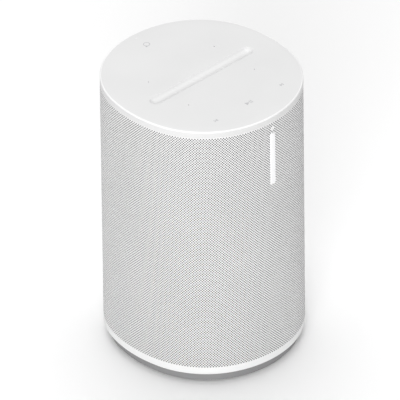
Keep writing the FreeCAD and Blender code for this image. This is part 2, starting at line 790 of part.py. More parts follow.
def make_woofer():
    """The woofer is turned round a local Z that looks out of the front."""
    place = facing(forwards, (0, baffle_front, woofer_z))
    seat = woofer_gasket_thickness
    flange_face = seat + flange_thickness
    ledge = seat + ledge_thickness
    back = -basket_depth
    plate_back = back - basket_wall
    bore = coil_radius + coil_wall + winding_wall + magnetic_gap
    spider_z = back + spider_seat_height
    basket = spun(
        (bore, plate_back), (basket_back + basket_wall, plate_back), (basket_mouth + basket_wall, seat),
        (woofer_radius, seat), (woofer_radius, flange_face), (basket_mouth + ledge_width, flange_face),
        (basket_mouth + ledge_width, ledge), (basket_mouth, ledge), (basket_mouth, seat),
        (basket_back, back), (spider_seat_radius + spider_seat_width, back),
        (spider_seat_radius + spider_seat_width, spider_z), (spider_seat_radius, spider_z),
        (spider_seat_radius, back), (bore, back))
    window = spun(
        (basket_back - window_lap, back + window_rise), (basket_mouth + window_reach, back + window_rise),
        (basket_mouth + window_reach, seat - window_drop), (basket_back - window_lap, seat - window_drop))
    wedge = math.radians(basket_window)
    far = woofer_radius / math.cos(wedge / 2)
    for i in range(basket_window_count):
        turn = 2 * math.pi / basket_window_count * i
        sides = [Vector(far * math.cos(turn + s), far * math.sin(turn + s), back)
                 for s in (-wedge / 2, wedge / 2)]
        slice_face = Part.Face(Part.makePolygon([Vector(0, 0, back)] + sides + [Vector(0, 0, back)]))
        basket = basket.cut(window.common(slice_face.extrude(Vector(0, 0, basket_depth))))
    for x, z in woofer_screw_spots():
        spot = place.inverse().multVec(Vector(x, baffle_front, z))
        basket = basket.cut(rod(hole_radius, (spot.x, spot.y, seat), (spot.x, spot.y, flange_face)))
    keep("woofer_basket", put(basket, place))
    ring = pipe(woofer_radius, basket_mouth + basket_wall + opening_clearance, (0, 0, 0), (0, 0, seat))
    ring = put(ring, place)
    for x, z in woofer_screw_spots():
        ring = ring.cut(rod(hole_radius, (x, baffle_front - seat, z), (x, baffle_front, z)))
    keep("woofer_gasket", ring)
    keep("woofer_screws", *[screw_at((x, baffle_front - flange_face, z), forwards,
                                     flange_face + baffle_thickness) for x, z in woofer_screw_spots()])

    top_plate = pipe(top_plate_radius, bore, (0, 0, plate_back - top_plate_thickness), (0, 0, plate_back))
    magnet_front = plate_back - top_plate_thickness
    magnet = pipe(magnet_radius, magnet_bore, (0, 0, magnet_front - magnet_thickness), (0, 0, magnet_front))
    yoke_front = magnet_front - magnet_thickness
    yoke = rod(yoke_radius, (0, 0, yoke_front - yoke_thickness), (0, 0, yoke_front))
    yoke = yoke.fuse(rod(pole_radius, (0, 0, yoke_front), (0, 0, plate_back))).removeSplitter()
    keep("woofer_top_plate", put(top_plate, place))
    keep("woofer_magnet", put(magnet, place))
    keep("woofer_yoke", put(yoke, place))

    rim = ledge
    neck = rim - cone_depth
    coil_out = coil_radius + coil_wall
    cone = spun(
        (coil_out, neck), (cone_radius, rim - cone_wall), (cone_radius + surround_land, rim - cone_wall),
        (cone_radius + surround_land, rim), (cone_radius - cone_shoulder, rim),
        (coil_out, neck + 2 * cone_wall))
    share = (dust_cap_radius - coil_out) / (cone_radius - cone_shoulder - coil_out)
    cap_z = neck + 2 * cone_wall + share * (cone_depth - 2 * cone_wall)
    dust_cap = spun(
        (0, cap_z + dust_cap_rise), dome_curve(dust_cap_radius, dust_cap_rise, cap_z, True),
        (dust_cap_radius - cone_wall, cap_z),
        dome_curve(dust_cap_radius - cone_wall, dust_cap_rise - cone_wall, cap_z))
    coil_bottom = neck + coil_lap - coil_length
    winding_top = plate_back - top_plate_thickness / 2 + winding_length / 2
    former = pipe(coil_out, coil_radius, (0, 0, coil_bottom), (0, 0, neck + coil_lap))
    winding_bottom = winding_top - winding_length
    winding = pipe(coil_out + winding_wall, coil_out, (0, 0, winding_bottom), (0, 0, winding_top))
    keep("woofer_cone", put(cone, place))
    keep("woofer_dust_cap", put(dust_cap, place))
    keep("woofer_coil", put(former.fuse(winding).removeSplitter(), place))

    inner, outer = cone_radius + surround_land, basket_mouth
    middle, half = (inner + outer) / 2, (outer - inner) / 2
    top = rim + surround_wall
    surround = spun(
        (cone_radius, rim), (inner, rim), ((middle, rim + half), (outer, rim)),
        (basket_mouth + ledge_width - fit_gap, rim), (basket_mouth + ledge_width - fit_gap, top),
        (outer + surround_wall, top),
        ((middle, top + half + surround_wall / 2), (inner - surround_wall, top)),
        (cone_radius, top))
    keep("woofer_surround", put(surround, place))
    wave = (spider_seat_radius - coil_out) / spider_waves
    steps = []
    for side in (0, spider_wall):
        edge = [(coil_out, spider_z + side)]
        for i in range(spider_waves):
            swing = 0.0 if i == 0 else spider_swing if i % 2 else -spider_swing
            edge.append((coil_out + wave * (i + 0.5), spider_z + side + swing))
        edge.append((spider_seat_radius, spider_z + side))
        edge.append((spider_seat_radius + spider_seat_width, spider_z + side))
        steps.append(edge)
    spider = spun(*(steps[0] + steps[1][::-1]))
    keep("woofer_spider", put(spider, place))


def tweeter_place(side, distance):
    turn = math.radians(tweeter_angle)
    way = (side * math.sin(turn), -math.cos(turn), 0)
    return facing(way, (distance * way[0], distance * way[1], tweeter_z))


def guide_screw_spots():
    reach_x = guide_width / 2 - guide_corner / 2
    reach_y = guide_height / 2 - guide_corner / 2
    return [(x, y) for x in (-reach_x, reach_x) for y in (-reach_y, reach_y)]


def make_tweeter_housing():
    outer = oval_block(core_inset, box_top, housing_top)
    inner = oval_block(core_inset + box_wall, box_top + box_wall, housing_top - box_wall)
    back = block(-body_width, body_width, -body_depth, housing_back, 0, body_height)
    room = block(-body_width, body_width, -body_depth, housing_back - box_wall, 0, body_height)
    outer, inner = outer.common(back), inner.common(room)
    for side in (-1, 1):
        beyond = block(-body_width, body_width, -body_height, body_height, 0, body_depth)
        outer = outer.cut(put(beyond, tweeter_place(side, seat_distance)))
        inner = inner.cut(put(beyond, tweeter_place(side, seat_distance - box_wall)))
    pillars = [rod(boss_radius, (x, y, box_top), (x, y, housing_top)) for x, y in tie_spots]
    housing = joined([outer.cut(inner)] + pillars)
    for x, y in tie_spots:
        housing = housing.cut(rod(hole_radius, (x, y, box_top), (x, y, housing_top)))
    screws = []
    for side in (-1, 1):
        well = rod(motor_radius + motor_clearance, (0, 0, -box_wall - well_room), (0, 0, 0))
        housing = housing.cut(put(well, tweeter_place(side, seat_distance)))
        for x, y in guide_screw_spots():
            pilot = rod(screw_radius, (x, y, -box_wall), (x, y, 0))
            housing = housing.cut(put(pilot, tweeter_place(side, seat_distance)))
            screw = put(pan_screw(guide_floor + box_wall - tip_gap), Placement(Vector(x, y, guide_floor),
                                                                          FreeCAD.Rotation()))
            screws.append(put(screw, tweeter_place(side, seat_distance)))
        lead_hole = rod(lead_radius + lead_hole_gap, (side * tweeter_lead_x, 0, tweeter_z),
                        (side * tweeter_lead_x, body_depth, tweeter_z))
        housing = housing.cut(lead_hole)
    keep("tweeter_housing", housing)
    keep("waveguide_screws", *screws)


def make_tweeter(side, name):
    place = tweeter_place(side, seat_distance)
    guide = rounded_plate(guide_width, guide_height, guide_corner, 0, guide_depth)
    flare = spun(
        (0, 0), (throat_radius, 0), (throat_radius, throat_length),
        ((throat_radius + flare_step, guide_depth * flare_share), (guide_mouth, guide_depth)),
        (0, guide_depth))
    guide = guide.cut(flare)
    for x, y in guide_screw_spots():
        guide = guide.cut(rod(head_radius + screw_clearance, (x, y, guide_floor), (x, y, guide_depth)))
        guide = guide.cut(rod(hole_radius, (x, y, 0), (x, y, guide_floor)))
    keep(name + "_waveguide", put(guide, place))

    cup = rod(motor_radius, (0, 0, -motor_depth), (0, 0, 0))
    cup = cup.cut(rod(throat_radius, (0, 0, -motor_hollow), (0, 0, 0)))
    cup = cup.cut(pipe(voice_coil_radius + voice_coil_wall + coil_room, motor_pole_radius,
                       (0, 0, -motor_depth + motor_wall), (0, 0, -motor_hollow)))
    keep(name + "_tweeter_motor", put(cup, place))

    # The dome and its coil move together, and the roll bends between them and the motor's rim
    base_z = roll_wall + roll_lift - motor_hollow
    dome = spun(
        (0, base_z + dome_rise), dome_curve(dome_radius, dome_rise, base_z, True),
        (dome_radius, base_z - dome_wall), (dome_radius - dome_wall, base_z - dome_wall),
        dome_curve(dome_radius - dome_wall, dome_rise, base_z - dome_wall))
    coil = pipe(voice_coil_radius + voice_coil_wall, voice_coil_radius,
                (0, 0, base_z - voice_coil_length), (0, 0, base_z - dome_wall / 2))
    keep(name + "_tweeter_dome", put(dome.fuse(coil).removeSplitter(), place))
    crest = dome_radius + roll_width / 2
    roll = spun(
        (dome_radius, base_z - dome_wall),
        ((crest, base_z + roll_rise), (throat_radius, base_z - dome_wall)), (throat_radius, base_z),
        ((crest, base_z + roll_rise + roll_wall), (dome_radius, base_z)))
    keep(name + "_tweeter_roll", put(roll, place))


def make_carrier():
    carrier = oval_block(core_inset, carrier_bottom, carrier_top)
    legs = [rod(carrier_leg_radius, (x, y, housing_top), (x, y, carrier_bottom)) for x, y in tie_spots]
    carrier = joined([carrier] + legs)
    for x, y in tie_spots:
        carrier = carrier.cut(rod(hole_radius, (x, y, housing_top), (x, y, carrier_top)))
        sink = rod(head_radius + screw_clearance, (x, y, carrier_top - tie_sink), (x, y, carrier_top))
        carrier = carrier.cut(sink)
    for x, y in cap_boss_spots:
        carrier = carrier.cut(rod(hole_radius, (x, y, carrier_bottom), (x, y, carrier_top)))
    slot_reach = ribbon_width / 2 + ribbon_room
    slot = block(-slot_reach, slot_reach, main_board_face - ribbon_room,
                 main_board_face + ribbon_thickness + ribbon_room, carrier_bottom, carrier_top)
    keep("carrier", carrier.cut(slot))
    keep("cap_screws", *[screw_at((x, y, carrier_bottom), (0, 0, -1)) for x, y in cap_boss_spots])
    head = carrier_top - tie_sink
    tip = head - box_top + tie_grip
    keep("tie_screws", *[screw_at((x, y, head), (0, 0, 1), tip) for x, y in tie_spots])


def make_main_board():
    board = block(-board_reach, board_reach, main_board_face - board_thickness, main_board_face,
                  board_bottom, board_top)
    for x, z in board_spots:
        board = board.cut(rod(hole_radius, (x, 0, z), (x, body_depth, z)))
    keep("main_board", board)

def make_main_board_parts():
    """What stands on the rear face of the main board."""
    face = main_board_face
    sink_front = face + chip_height
    sink_low = port_board_top + sink_gap
    middle = sink_low + heat_sink_height / 2
    amp = chip_width / 2
    amplifier = block(-amp, amp, face, sink_front, middle - amp, middle + amp)
    left, right = -heat_sink_width / 2, heat_sink_width / 2
    back = sink_front + heat_sink_depth
    plate = block(left, right, sink_front, sink_front + fin_thickness, sink_low, sink_low + heat_sink_height)
    step = (heat_sink_width - fin_thickness) / (fin_count - 1)
    fins = [block(left + step * i, left + step * i + fin_thickness, sink_front, back, sink_low,
                  sink_low + heat_sink_height) for i in range(fin_count)]
    keep("heat_sink", joined([plate] + fins))
    low = board_bottom + can_rise
    cans = [block(x - can_width / 2, x + can_width / 2, face, face + can_height, low, low + can_length)
            for x in (-can_spacing / 2, can_spacing / 2)]
    keep("main_board_parts", amplifier, *cans)


def make_rear_panel():
    plate = oval_tube(panel_recess, panel_recess + panel_wall, panel_bottom, panel_bottom + panel_height)
    plate = plate.common(upright_plate(panel_width, panel_height, panel_corner, 0, body_depth, panel_z))
    wide, tall = panel_width + 2 * panel_flange, panel_height + 2 * panel_flange
    flange = oval_tube(shell_wall, shell_wall + flange_wall, panel_bottom - panel_flange,
                       panel_bottom + panel_height + panel_flange)
    flange = flange.common(upright_plate(wide, tall, panel_corner, 0, body_depth, panel_z))
    hold = panel_back + panel_lap
    well = upright_plate(pocket_width + 2 * pocket_wall, pocket_height + 2 * pocket_wall,
                         pocket_corner + pocket_wall, pocket_floor - pocket_wall, hold, inlet_z)
    bosses = [rod(boss_radius, (x, port_board_face, z), (x, hold, z)) for x, z in port_screw_spots]
    panel = joined([plate, flange, well] + bosses)
    panel = panel.cut(upright_plate(pocket_width, pocket_height, pocket_corner, pocket_floor, body_depth,
                                    inlet_z))
    panel = panel.cut(inlet_block(pocket_floor - pocket_wall, pocket_floor))
    for x, z in port_screw_spots:
        depth = screw_length - board_thickness
        panel = panel.cut(rod(screw_radius, (x, port_board_face, z), (x, port_board_face + depth, z)))
    usb_hole = upright_plate(usb_width + 2 * panel_gap, usb_height + 2 * panel_gap, usb_height / 2,
                             port_board_face, body_depth, usb_z)
    slot = upright_plate(knob_width + knob_travel + 2 * knob_gap, knob_height + 2 * knob_gap, slot_corner,
                         port_board_face, body_depth, switch_z)
    bore = rod(button_radius + button_gap, (0, port_board_face, button_z), (0, body_depth, button_z))
    keep("rear_panel", panel.cut(usb_hole).cut(slot).cut(bore))


def inlet_block(y0, y1):
    return upright_plate(inlet_width, inlet_height, slot_corner, y0, y1, inlet_z)


def make_inlet():
    """The mains socket and its pins. Returns the leads behind it."""
    body = inlet_block(pocket_floor - inlet_depth, pocket_floor)
    floor = pocket_floor - socket_depth
    lobes = [rod(inlet_lobe_radius, (x, floor, inlet_z), (x, pocket_floor, inlet_z)) for x in pin_spots]
    bridge = block(pin_spots[0], pin_spots[1], floor, pocket_floor, inlet_z - inlet_bridge / 2,
                   inlet_z + inlet_bridge / 2)
    keep("power_inlet", body.cut(joined(lobes + [bridge])))
    pins = []
    for x in pin_spots:
        pin = rod(pin_radius, (x, floor, inlet_z), (x, floor + pin_length, inlet_z))
        tip = [e for e in pin.Edges if e.BoundBox.YMin > floor + pin_length - tiny]
        pins.append(pin.makeFillet(pin_radius / 2, tip))
    keep("inlet_pins", *pins)
    back = pocket_floor - inlet_depth
    board_face = base_top + power_board_rise + board_thickness
    return [bent_lead([(x, back, inlet_z), (x, mains_lead_y, inlet_z), (x, mains_lead_y, board_face)])
            for x in pin_spots]


def make_port_board():
    reach = port_board_width / 2
    board = block(-reach, reach, port_board_face - board_thickness, port_board_face, port_board_bottom,
                  port_board_top)
    for x, z in port_screw_spots:
        board = board.cut(rod(hole_radius, (x, 0, z), (x, body_depth, z)))
    keep("port_board", board)

    mouth = port_board_face + usb_length
    can = upright_plate(usb_width, usb_height, usb_corner, port_board_face, mouth, usb_z)
    hollow = upright_plate(usb_width - 2 * usb_wall, usb_height - 2 * usb_wall, usb_corner - usb_wall,
                           port_board_face + usb_floor, mouth, usb_z)
    reach = usb_tongue_width / 2
    tongue = block(-reach, reach, port_board_face, mouth - usb_tongue_drop, usb_z - usb_tongue / 2,
                   usb_z + usb_tongue / 2)
    keep("usb_socket", can.cut(hollow).fuse(tongue).removeSplitter())


def make_controls():
    """The mute switch slides along X, and the pairing button is pressed along Y."""
    inner = min(panel_back, half_depth - shell_wall - flange_wall) - control_clearance
    tact_face = port_board_face + tact_height
    half = tact_size / 2
    tact = block(-half, half, port_board_face, tact_face, button_z - half, button_z + half)
    stem_end = tact_face + button_travel + stem_gap
    face = panel_face + button_proud
    button = rod(button_radius, (0, inner - control_flange_wall, button_z), (0, face, button_z))
    rim = [e for e in button.Edges if e.BoundBox.YMin > face - tiny]
    button = button.makeFillet(button_edge, rim)
    flange = rod(button_radius + button_flange, (0, inner - control_flange_wall, button_z),
                 (0, inner, button_z))
    stem = rod(stem_radius, (0, stem_end, button_z), (0, inner, button_z))
    keep("pairing_button", joined([button, flange, stem]))

    left, right = -switch_width / 2, switch_width / 2
    switch_face = port_board_face + switch_depth
    slider = block(left, right, port_board_face, switch_face, switch_z - switch_height / 2,
                   switch_z + switch_height / 2)
    keep("switches", tact, slider)
    x = -knob_travel / 2
    face = panel_face + knob_proud
    knob = block(x - knob_width / 2, x + knob_width / 2, inner - control_flange_wall, face,
                 switch_z - knob_height / 2, switch_z + knob_height / 2)
    low, high = switch_z - knob_height / 2, switch_z + knob_height / 2
    ridges = [block(x + r - ridge_gap / 2, x + r + ridge_gap / 2, face - ridge_depth, face, low, high)
              for r in (-ridge_spacing, 0, ridge_spacing)]
    knob = knob.cut(joined(ridges))
    reach = knob_width / 2 + knob_flange
    skirt = block(x - reach, x + reach, inner - knob_drop - control_flange_wall, inner - knob_drop,
                  switch_z - knob_height / 2 - knob_flange / 2, switch_z + knob_height / 2 + knob_flange / 2)
    neck = block(x - stem_radius, x + stem_radius, switch_face + fit_gap, inner, switch_z - stem_radius,
                 switch_z + stem_radius)
    keep("mute_knob", joined([knob, skirt, neck]))


def make_power_supply():
    """The mains board. Returns the leads that run up from it to the main board."""
    low = base_top + power_board_rise
    face = low + board_thickness
    reach = leg_x - leg_radius - power_board_gap
    board = block(-reach, reach, -power_board_front, power_board_back, low, face)
    for x, y in power_post_spots:
        board = board.cut(rod(hole_radius, (x, y, low), (x, y, face)))
    keep("power_board", board)
    core = block(-transformer_width / 2, transformer_width / 2, transformer_y,
                 transformer_y + transformer_depth, face, face + transformer_height)
    cans = [rod(capacitor_radius, (x, capacitor_y, face), (x, capacitor_y, face + capacitor_height))
            for x in (-capacitor_spacing / 2, capacitor_spacing / 2)]
    keep("power_board_parts", core, *cans)
    board_face = main_board_face
    leads = []
    for x in (supply_lead_x, supply_lead_x + lead_spacing):
        rise = box_bottom - supply_lead_drop
        back = board_face + supply_lead_room
        end = board_bottom + supply_lead_rise
        leads.append(bent_lead([(x, supply_lead_y, face), (x, supply_lead_y, rise), (x, back, rise),
                                (x, back, end), (x, board_face, end)]))
    return leads


def make_speaker_leads():
    back_edge = baffle_front + basket_depth
    reach = basket_back + basket_wall
    low = woofer_z - reach - terminal_drop
    strip = block(-terminal_width / 2, terminal_width / 2, back_edge - terminal_depth, back_edge, low,
                  woofer_z - reach + terminal_grip)
    place = facing(forwards, (0, baffle_front, woofer_z))
    cone = spun((0, -basket_depth - basket_wall), (reach, -basket_depth - basket_wall),
                (basket_mouth + basket_wall, woofer_gasket_thickness), (0, woofer_gasket_thickness))
    keep("woofer_terminals", strip.cut(put(cone, place)))
    y = back_edge - terminal_depth / 2
    end = box_back + main_board_gap
    leads = [bent_lead([(x, y, low), (x, y, woofer_lead_z), (x, end, woofer_lead_z)])
             for x in both(lead_spacing / 2)]

    turn = math.radians(tweeter_angle)
    start = seat_distance - motor_depth
    run = start - tweeter_lead_x / math.sin(turn)
    back = main_board_face + supply_lead_room
    end = board_top - tweeter_lead_drop
    for side in (-1, 1):
        x = side * tweeter_lead_x
        leads.append(bent_lead([
            (side * start * math.sin(turn), -start * math.cos(turn), tweeter_z),
            (x, -(start - run) * math.cos(turn), tweeter_z), (x, back, tweeter_z), (x, back, end),
            (x, main_board_face, end)]))
    keep("speaker_leads", *leads)
    keep("ribbon", block(-ribbon_width / 2, ribbon_width / 2, main_board_face,
                         main_board_face + ribbon_thickness, board_top - ribbon_grip, top_board_bottom))


def make_antennas():
    antennas = []
    for x in (-antenna_spacing / 2, antenna_spacing / 2):
        y = antenna_y
        antennas.append(block(x - antenna_width / 2, x + antenna_width / 2, y, y + antenna_thickness,
                              carrier_bottom - antenna_height, carrier_bottom))
    keep("antennas", *antennas)


def make_board_screws():
    """The screws of the main board, the port board and the mains board are all alike."""
    face = base_top + power_board_rise + board_thickness
    screws = [screw_at((x, y, face), (0, 0, 1)) for x, y in power_post_spots]
    screws += [screw_at((x, main_board_face, z), backwards) for x, z in board_spots]
    back = port_board_face - board_thickness
    keep("board_screws", *screws, *[screw_at((x, back, z), forwards) for x, z in port_screw_spots])


make_base()
make_shell()
make_cap()
make_touch_panel()
make_woofer_box()
make_woofer()
make_tweeter_housing()
make_tweeter(-1, "left")
make_tweeter(1, "right")
make_carrier()
make_main_board()
make_main_board_parts()
make_rear_panel()
mains_leads = make_inlet()
make_port_board()
make_controls()
supply_leads = make_power_supply()
make_speaker_leads()
make_antennas()
make_board_screws()
keep("power_leads", *(mains_leads + supply_leads))

os.makedirs("parts", exist_ok=True)
for name, shape in parts.items():
    shape.exportStep("parts/" + name + ".step")
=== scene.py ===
import bmesh
import bpy
import json
import math
import numpy as np
from mathutils import Matrix, Vector


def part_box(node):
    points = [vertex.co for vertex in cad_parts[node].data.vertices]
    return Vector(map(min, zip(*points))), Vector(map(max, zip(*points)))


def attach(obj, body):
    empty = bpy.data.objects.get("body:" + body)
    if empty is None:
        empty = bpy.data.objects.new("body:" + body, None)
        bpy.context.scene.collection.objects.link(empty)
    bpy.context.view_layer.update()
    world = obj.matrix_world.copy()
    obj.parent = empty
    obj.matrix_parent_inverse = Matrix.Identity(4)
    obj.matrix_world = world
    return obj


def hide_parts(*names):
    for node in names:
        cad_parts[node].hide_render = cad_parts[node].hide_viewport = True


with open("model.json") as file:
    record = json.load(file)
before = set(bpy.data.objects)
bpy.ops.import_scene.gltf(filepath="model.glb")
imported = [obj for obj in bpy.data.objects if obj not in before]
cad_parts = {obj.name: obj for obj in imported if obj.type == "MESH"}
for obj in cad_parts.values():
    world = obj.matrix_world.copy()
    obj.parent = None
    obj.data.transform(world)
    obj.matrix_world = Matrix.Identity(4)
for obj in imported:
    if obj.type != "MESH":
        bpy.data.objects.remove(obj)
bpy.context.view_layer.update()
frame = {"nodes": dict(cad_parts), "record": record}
mm = 0.001


def span(node):
    low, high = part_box(node)
    return Vector(low), Vector(high)


# The oval of the body, as arcs that run into each other
oval = {"cornerShift": 5.0 * mm, "cornerEase": 0.9 * mm}
shellLow, shellHigh = span("shell")
capLow, capHigh = span("cap")
panelLow, panelHigh = span("rear_panel")
seamGap = 0.12 * mm  # from the shell to the top
seamZ = shellHigh.z + seamGap
halfWidth = shellHigh.x
halfDepth = (capHigh.y - capLow.y) / 2
topZ = capHigh.z
cornerRadius = min(halfWidth, halfDepth) - oval["cornerShift"]
cornerX = halfWidth - cornerRadius - oval["cornerEase"]
cornerY = halfDepth - cornerRadius - oval["cornerEase"]


def faceRadius(offAxis):
    near = cornerRadius + oval["cornerEase"]
    return (near**2 + offAxis**2 - cornerRadius**2) / (2 * oval["cornerEase"])


sideRadius, frontRadius = faceRadius(cornerY), faceRadius(cornerX)
sideCentre, frontCentre = halfWidth - sideRadius, halfDepth - frontRadius
sideTurn = math.atan2(cornerY, cornerX - sideCentre)
frontTurn = math.atan2(cornerY - frontCentre, cornerX)


def ovalArcs():
    # (centre x, centre y, radius, start, end) once round from the middle of the right side
    pi = math.pi
    return [
        (sideCentre, 0, sideRadius, 0, sideTurn),
        (cornerX, cornerY, cornerRadius, sideTurn, frontTurn),
        (0, frontCentre, frontRadius, frontTurn, pi - frontTurn),
        (-cornerX, cornerY, cornerRadius, pi - frontTurn, pi - sideTurn),
        (-sideCentre, 0, sideRadius, pi - sideTurn, pi + sideTurn),
        (-cornerX, -cornerY, cornerRadius, pi + sideTurn, pi + frontTurn),
        (0, -frontCentre, frontRadius, pi + frontTurn, 2 * pi - frontTurn),
        (cornerX, -cornerY, cornerRadius, -frontTurn, -sideTurn),
        (sideCentre, 0, sideRadius, -sideTurn, 0),
    ]


ovalLength = sum(a[2] * (a[4] - a[3]) for a in ovalArcs())


def onOval(along, inward):
    # points at these distances round the oval, moved inwards: along 0 is the middle of the front
    along, inward = np.broadcast_arrays(np.asarray(along, float), np.asarray(inward, float))
    run = np.mod(along - ovalLength / 4, ovalLength)
    x, y = np.zeros(run.shape), np.zeros(run.shape)
    done = 0.0
    for cx, cy, radius, start, end in ovalArcs():
        length = radius * (end - start)
        inside = (run >= done - 1e-12) & (run <= done + length + 1e-12)
        turn = start + (run[inside] - done) / radius
        x[inside] = cx + (radius - inward[inside]) * np.cos(turn)
        y[inside] = cy + (radius - inward[inside]) * np.sin(turn)
        done += length
    return x, y


print("frame loaded, oval is", round(ovalLength / mm, 1), "mm round")


# Modelling helpers
def deselectAll():
    if bpy.context.object and bpy.context.object.mode != "OBJECT":
        bpy.ops.object.mode_set(mode="OBJECT")
    bpy.ops.object.select_all(action="DESELECT")


def activate(obj):
    deselectAll()
    obj.select_set(True)
    bpy.context.view_layer.objects.active = obj


def settle(obj):
    activate(obj)
    bpy.ops.object.transform_apply(location=True, rotation=True, scale=True)


def applyModifier(obj, kind, **settings):
    activate(obj)
    modifier = obj.modifiers.new(kind.title(), kind)
    for key, value in settings.items():
        setattr(modifier, key, value)
    bpy.ops.object.modifier_apply(modifier=modifier.name)


def editMode(obj, mode="FACE"):
    activate(obj)
    bpy.ops.object.mode_set(mode="EDIT")
    bpy.ops.mesh.select_mode(type=mode)
    bpy.ops.mesh.select_all(action="DESELECT")
    return bmesh.from_edit_mesh(obj.data)


def pick(obj, items, test):
    for item in items:
        item.select_set(bool(test(item)))
    bmesh.update_edit_mesh(obj.data)


def pointsOf(obj):
    points = np.empty(len(obj.data.vertices) * 3)
    obj.data.vertices.foreach_get("co", points)
    return points.reshape(-1, 3)


def setPoints(obj, points):
    obj.data.vertices.foreach_set("co", np.ascontiguousarray(points, dtype=float).ravel())
    obj.data.update()


def bendRoundOval(obj):
    # the flat piece's X runs round the oval, Y is its inward depth and Z stays
    flat = pointsOf(obj)
    x, y = onOval(flat[:, 0], flat[:, 1])
    setPoints(obj, np.stack([x, y, flat[:, 2]], axis=1))


def joinPieces(first, others):
    activate(first)
    for other in others:
        other.select_set(True)
    bpy.ops.object.join()
    return first


def mergeDoubles(obj, distance=0.02 * mm):
    editMode(obj, "VERT")
    bpy.ops.mesh.select_all(action="SELECT")
    bpy.ops.mesh.remove_doubles(threshold=distance)
    bpy.ops.object.mode_set(mode="OBJECT")


def buildGrid(columns, rows):
    bpy.ops.mesh.primitive_grid_add(x_subdivisions=columns, y_subdivisions=rows, size=2.0)
    return bpy.context.object


def sweepOval(profile, segments):
    # a profile of (inward, height) carried once round the body
    grid = buildGrid(segments, len(profile) - 1)
    flat = pointsOf(grid)
    step = np.rint((flat[:, 1] + 1) / 2 * (len(profile) - 1)).astype(int)
    shape = np.array(profile)[step]
    x, y = onOval((flat[:, 0] + 1) / 2 * ovalLength, shape[:, 0])
    setPoints(grid, np.stack([x, y, shape[:, 1]], axis=1))
    mergeDoubles(grid, 0.002 * mm)
    return grid


def faceOutwards(obj):
    editMode(obj)
    bpy.ops.mesh.select_all(action="SELECT")
    bpy.ops.mesh.normals_make_consistent(inside=False)
    bpy.ops.object.mode_set(mode="OBJECT")


def roundCorner(centre, radius, start, end, steps):
    # points of a rounded edge in a profile, angles in degrees
    turns = [math.radians(start + (end - start) * i / steps) for i in range(steps + 1)]
    return [(centre[0] + radius * math.cos(t), centre[1] + radius * math.sin(t)) for t in turns]


def flipFaces(obj):
    editMode(obj)
    bpy.ops.mesh.select_all(action="SELECT")
    bpy.ops.mesh.flip_normals()
    bpy.ops.object.mode_set(mode="OBJECT")


def flipIfInward(obj):
    # an open band keeps the order of its profile, so its faces may all look inwards
    count = len(obj.data.polygons)
    normals, middles = np.empty(count * 3), np.empty(count * 3)
    obj.data.polygons.foreach_get("normal", normals)
    obj.data.polygons.foreach_get("center", middles)
    normals, middles = normals.reshape(-1, 3), middles.reshape(-1, 3)
    widest = np.hypot(middles[:, 0], middles[:, 1]) > 0.98 * np.hypot(middles[:, 0], middles[:, 1]).max()
    outward = (normals[widest, :2] * middles[widest, :2]).sum()
    if outward < 0:
        flipFaces(obj)


def cutWith(obj, cutter):
    activate(obj)
    modifier = obj.modifiers.new("Cut", "BOOLEAN")
    modifier.operation = "DIFFERENCE"
    modifier.solver = "EXACT"
    modifier.object = cutter
    bpy.ops.object.modifier_apply(modifier=modifier.name)
    bpy.data.objects.remove(cutter)


smoothAngle = math.radians(30)


def finishPiece(obj, name, body, material, replaced=()):
    activate(obj)
    obj.name = name
    obj.data.name = name
    bpy.ops.object.shade_smooth_by_angle(angle=smoothAngle)
    if material:
        obj.data.materials.clear()
        obj.data.materials.append(material)
    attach(obj, body)
    if replaced:
        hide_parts(*replaced)


# Materials
def startMaterial(name):
    material = bpy.data.materials.new(name)
    material.use_nodes = True
    tree = material.node_tree
    shader = tree.nodes["Principled BSDF"]
    place = tree.nodes.new("ShaderNodeTexCoord")
    return material, tree, shader, place.outputs["Object"]


def noiseNode(tree, place, scale, detail=3.0, stretch=None):
    node = tree.nodes.new("ShaderNodeTexNoise")
    node.inputs["Scale"].default_value = scale
    node.inputs["Detail"].default_value = detail
    if stretch:
        mapping = tree.nodes.new("ShaderNodeMapping")
        mapping.inputs["Scale"].default_value = stretch
        tree.links.new(place, mapping.inputs["Vector"])
        place = mapping.outputs["Vector"]
    tree.links.new(place, node.inputs["Vector"])
    return node.outputs["Fac"]


def rampNode(tree, value, low, high, start=0.3, end=0.7):
    node = tree.nodes.new("ShaderNodeValToRGB")
    node.color_ramp.elements[0].position = start
    node.color_ramp.elements[0].color = low
    node.color_ramp.elements[1].position = end
    node.color_ramp.elements[1].color = high
    tree.links.new(value, node.inputs["Fac"])
    return node.outputs["Color"]


def rangeNode(tree, value, low, high):
    node = tree.nodes.new("ShaderNodeMapRange")
    node.inputs["From Min"].default_value = 0.3
    node.inputs["From Max"].default_value = 0.7
    node.inputs["To Min"].default_value = low
    node.inputs["To Max"].default_value = high
    tree.links.new(value, node.inputs["Value"])
    return node.outputs["Result"]


def shade(colour, factor):
    return tuple(min(c * factor, 1.0) for c in colour) + (1.0,)


def bumpSurface(tree, shader, value, strength, distance=0.05 * mm):
    height = tree.nodes.new("ShaderNodeBump")
    height.inputs["Strength"].default_value = strength
    height.inputs["Distance"].default_value = distance
    tree.links.new(value, height.inputs["Height"])
    tree.links.new(height.outputs["Normal"], shader.inputs["Normal"])


def mouldedPlastic(name, colour, rough, grain=2600.0, bump=0.05, spread=0.02):
    # fine spark-eroded grain with a slow drift in shade and gloss
    material, tree, shader, place = startMaterial(name)
    drift = noiseNode(tree, place, 22.0, 2.0)
    speck = noiseNode(tree, place, grain, 2.0)
    tree.links.new(rampNode(tree, drift, shade(colour, 1 - spread), shade(colour, 1 + spread)),
                   shader.inputs["Base Color"])
    tree.links.new(rangeNode(tree, speck, rough - 0.05, rough + 0.05), shader.inputs["Roughness"])
    bumpSurface(tree, shader, speck, bump)
    return material


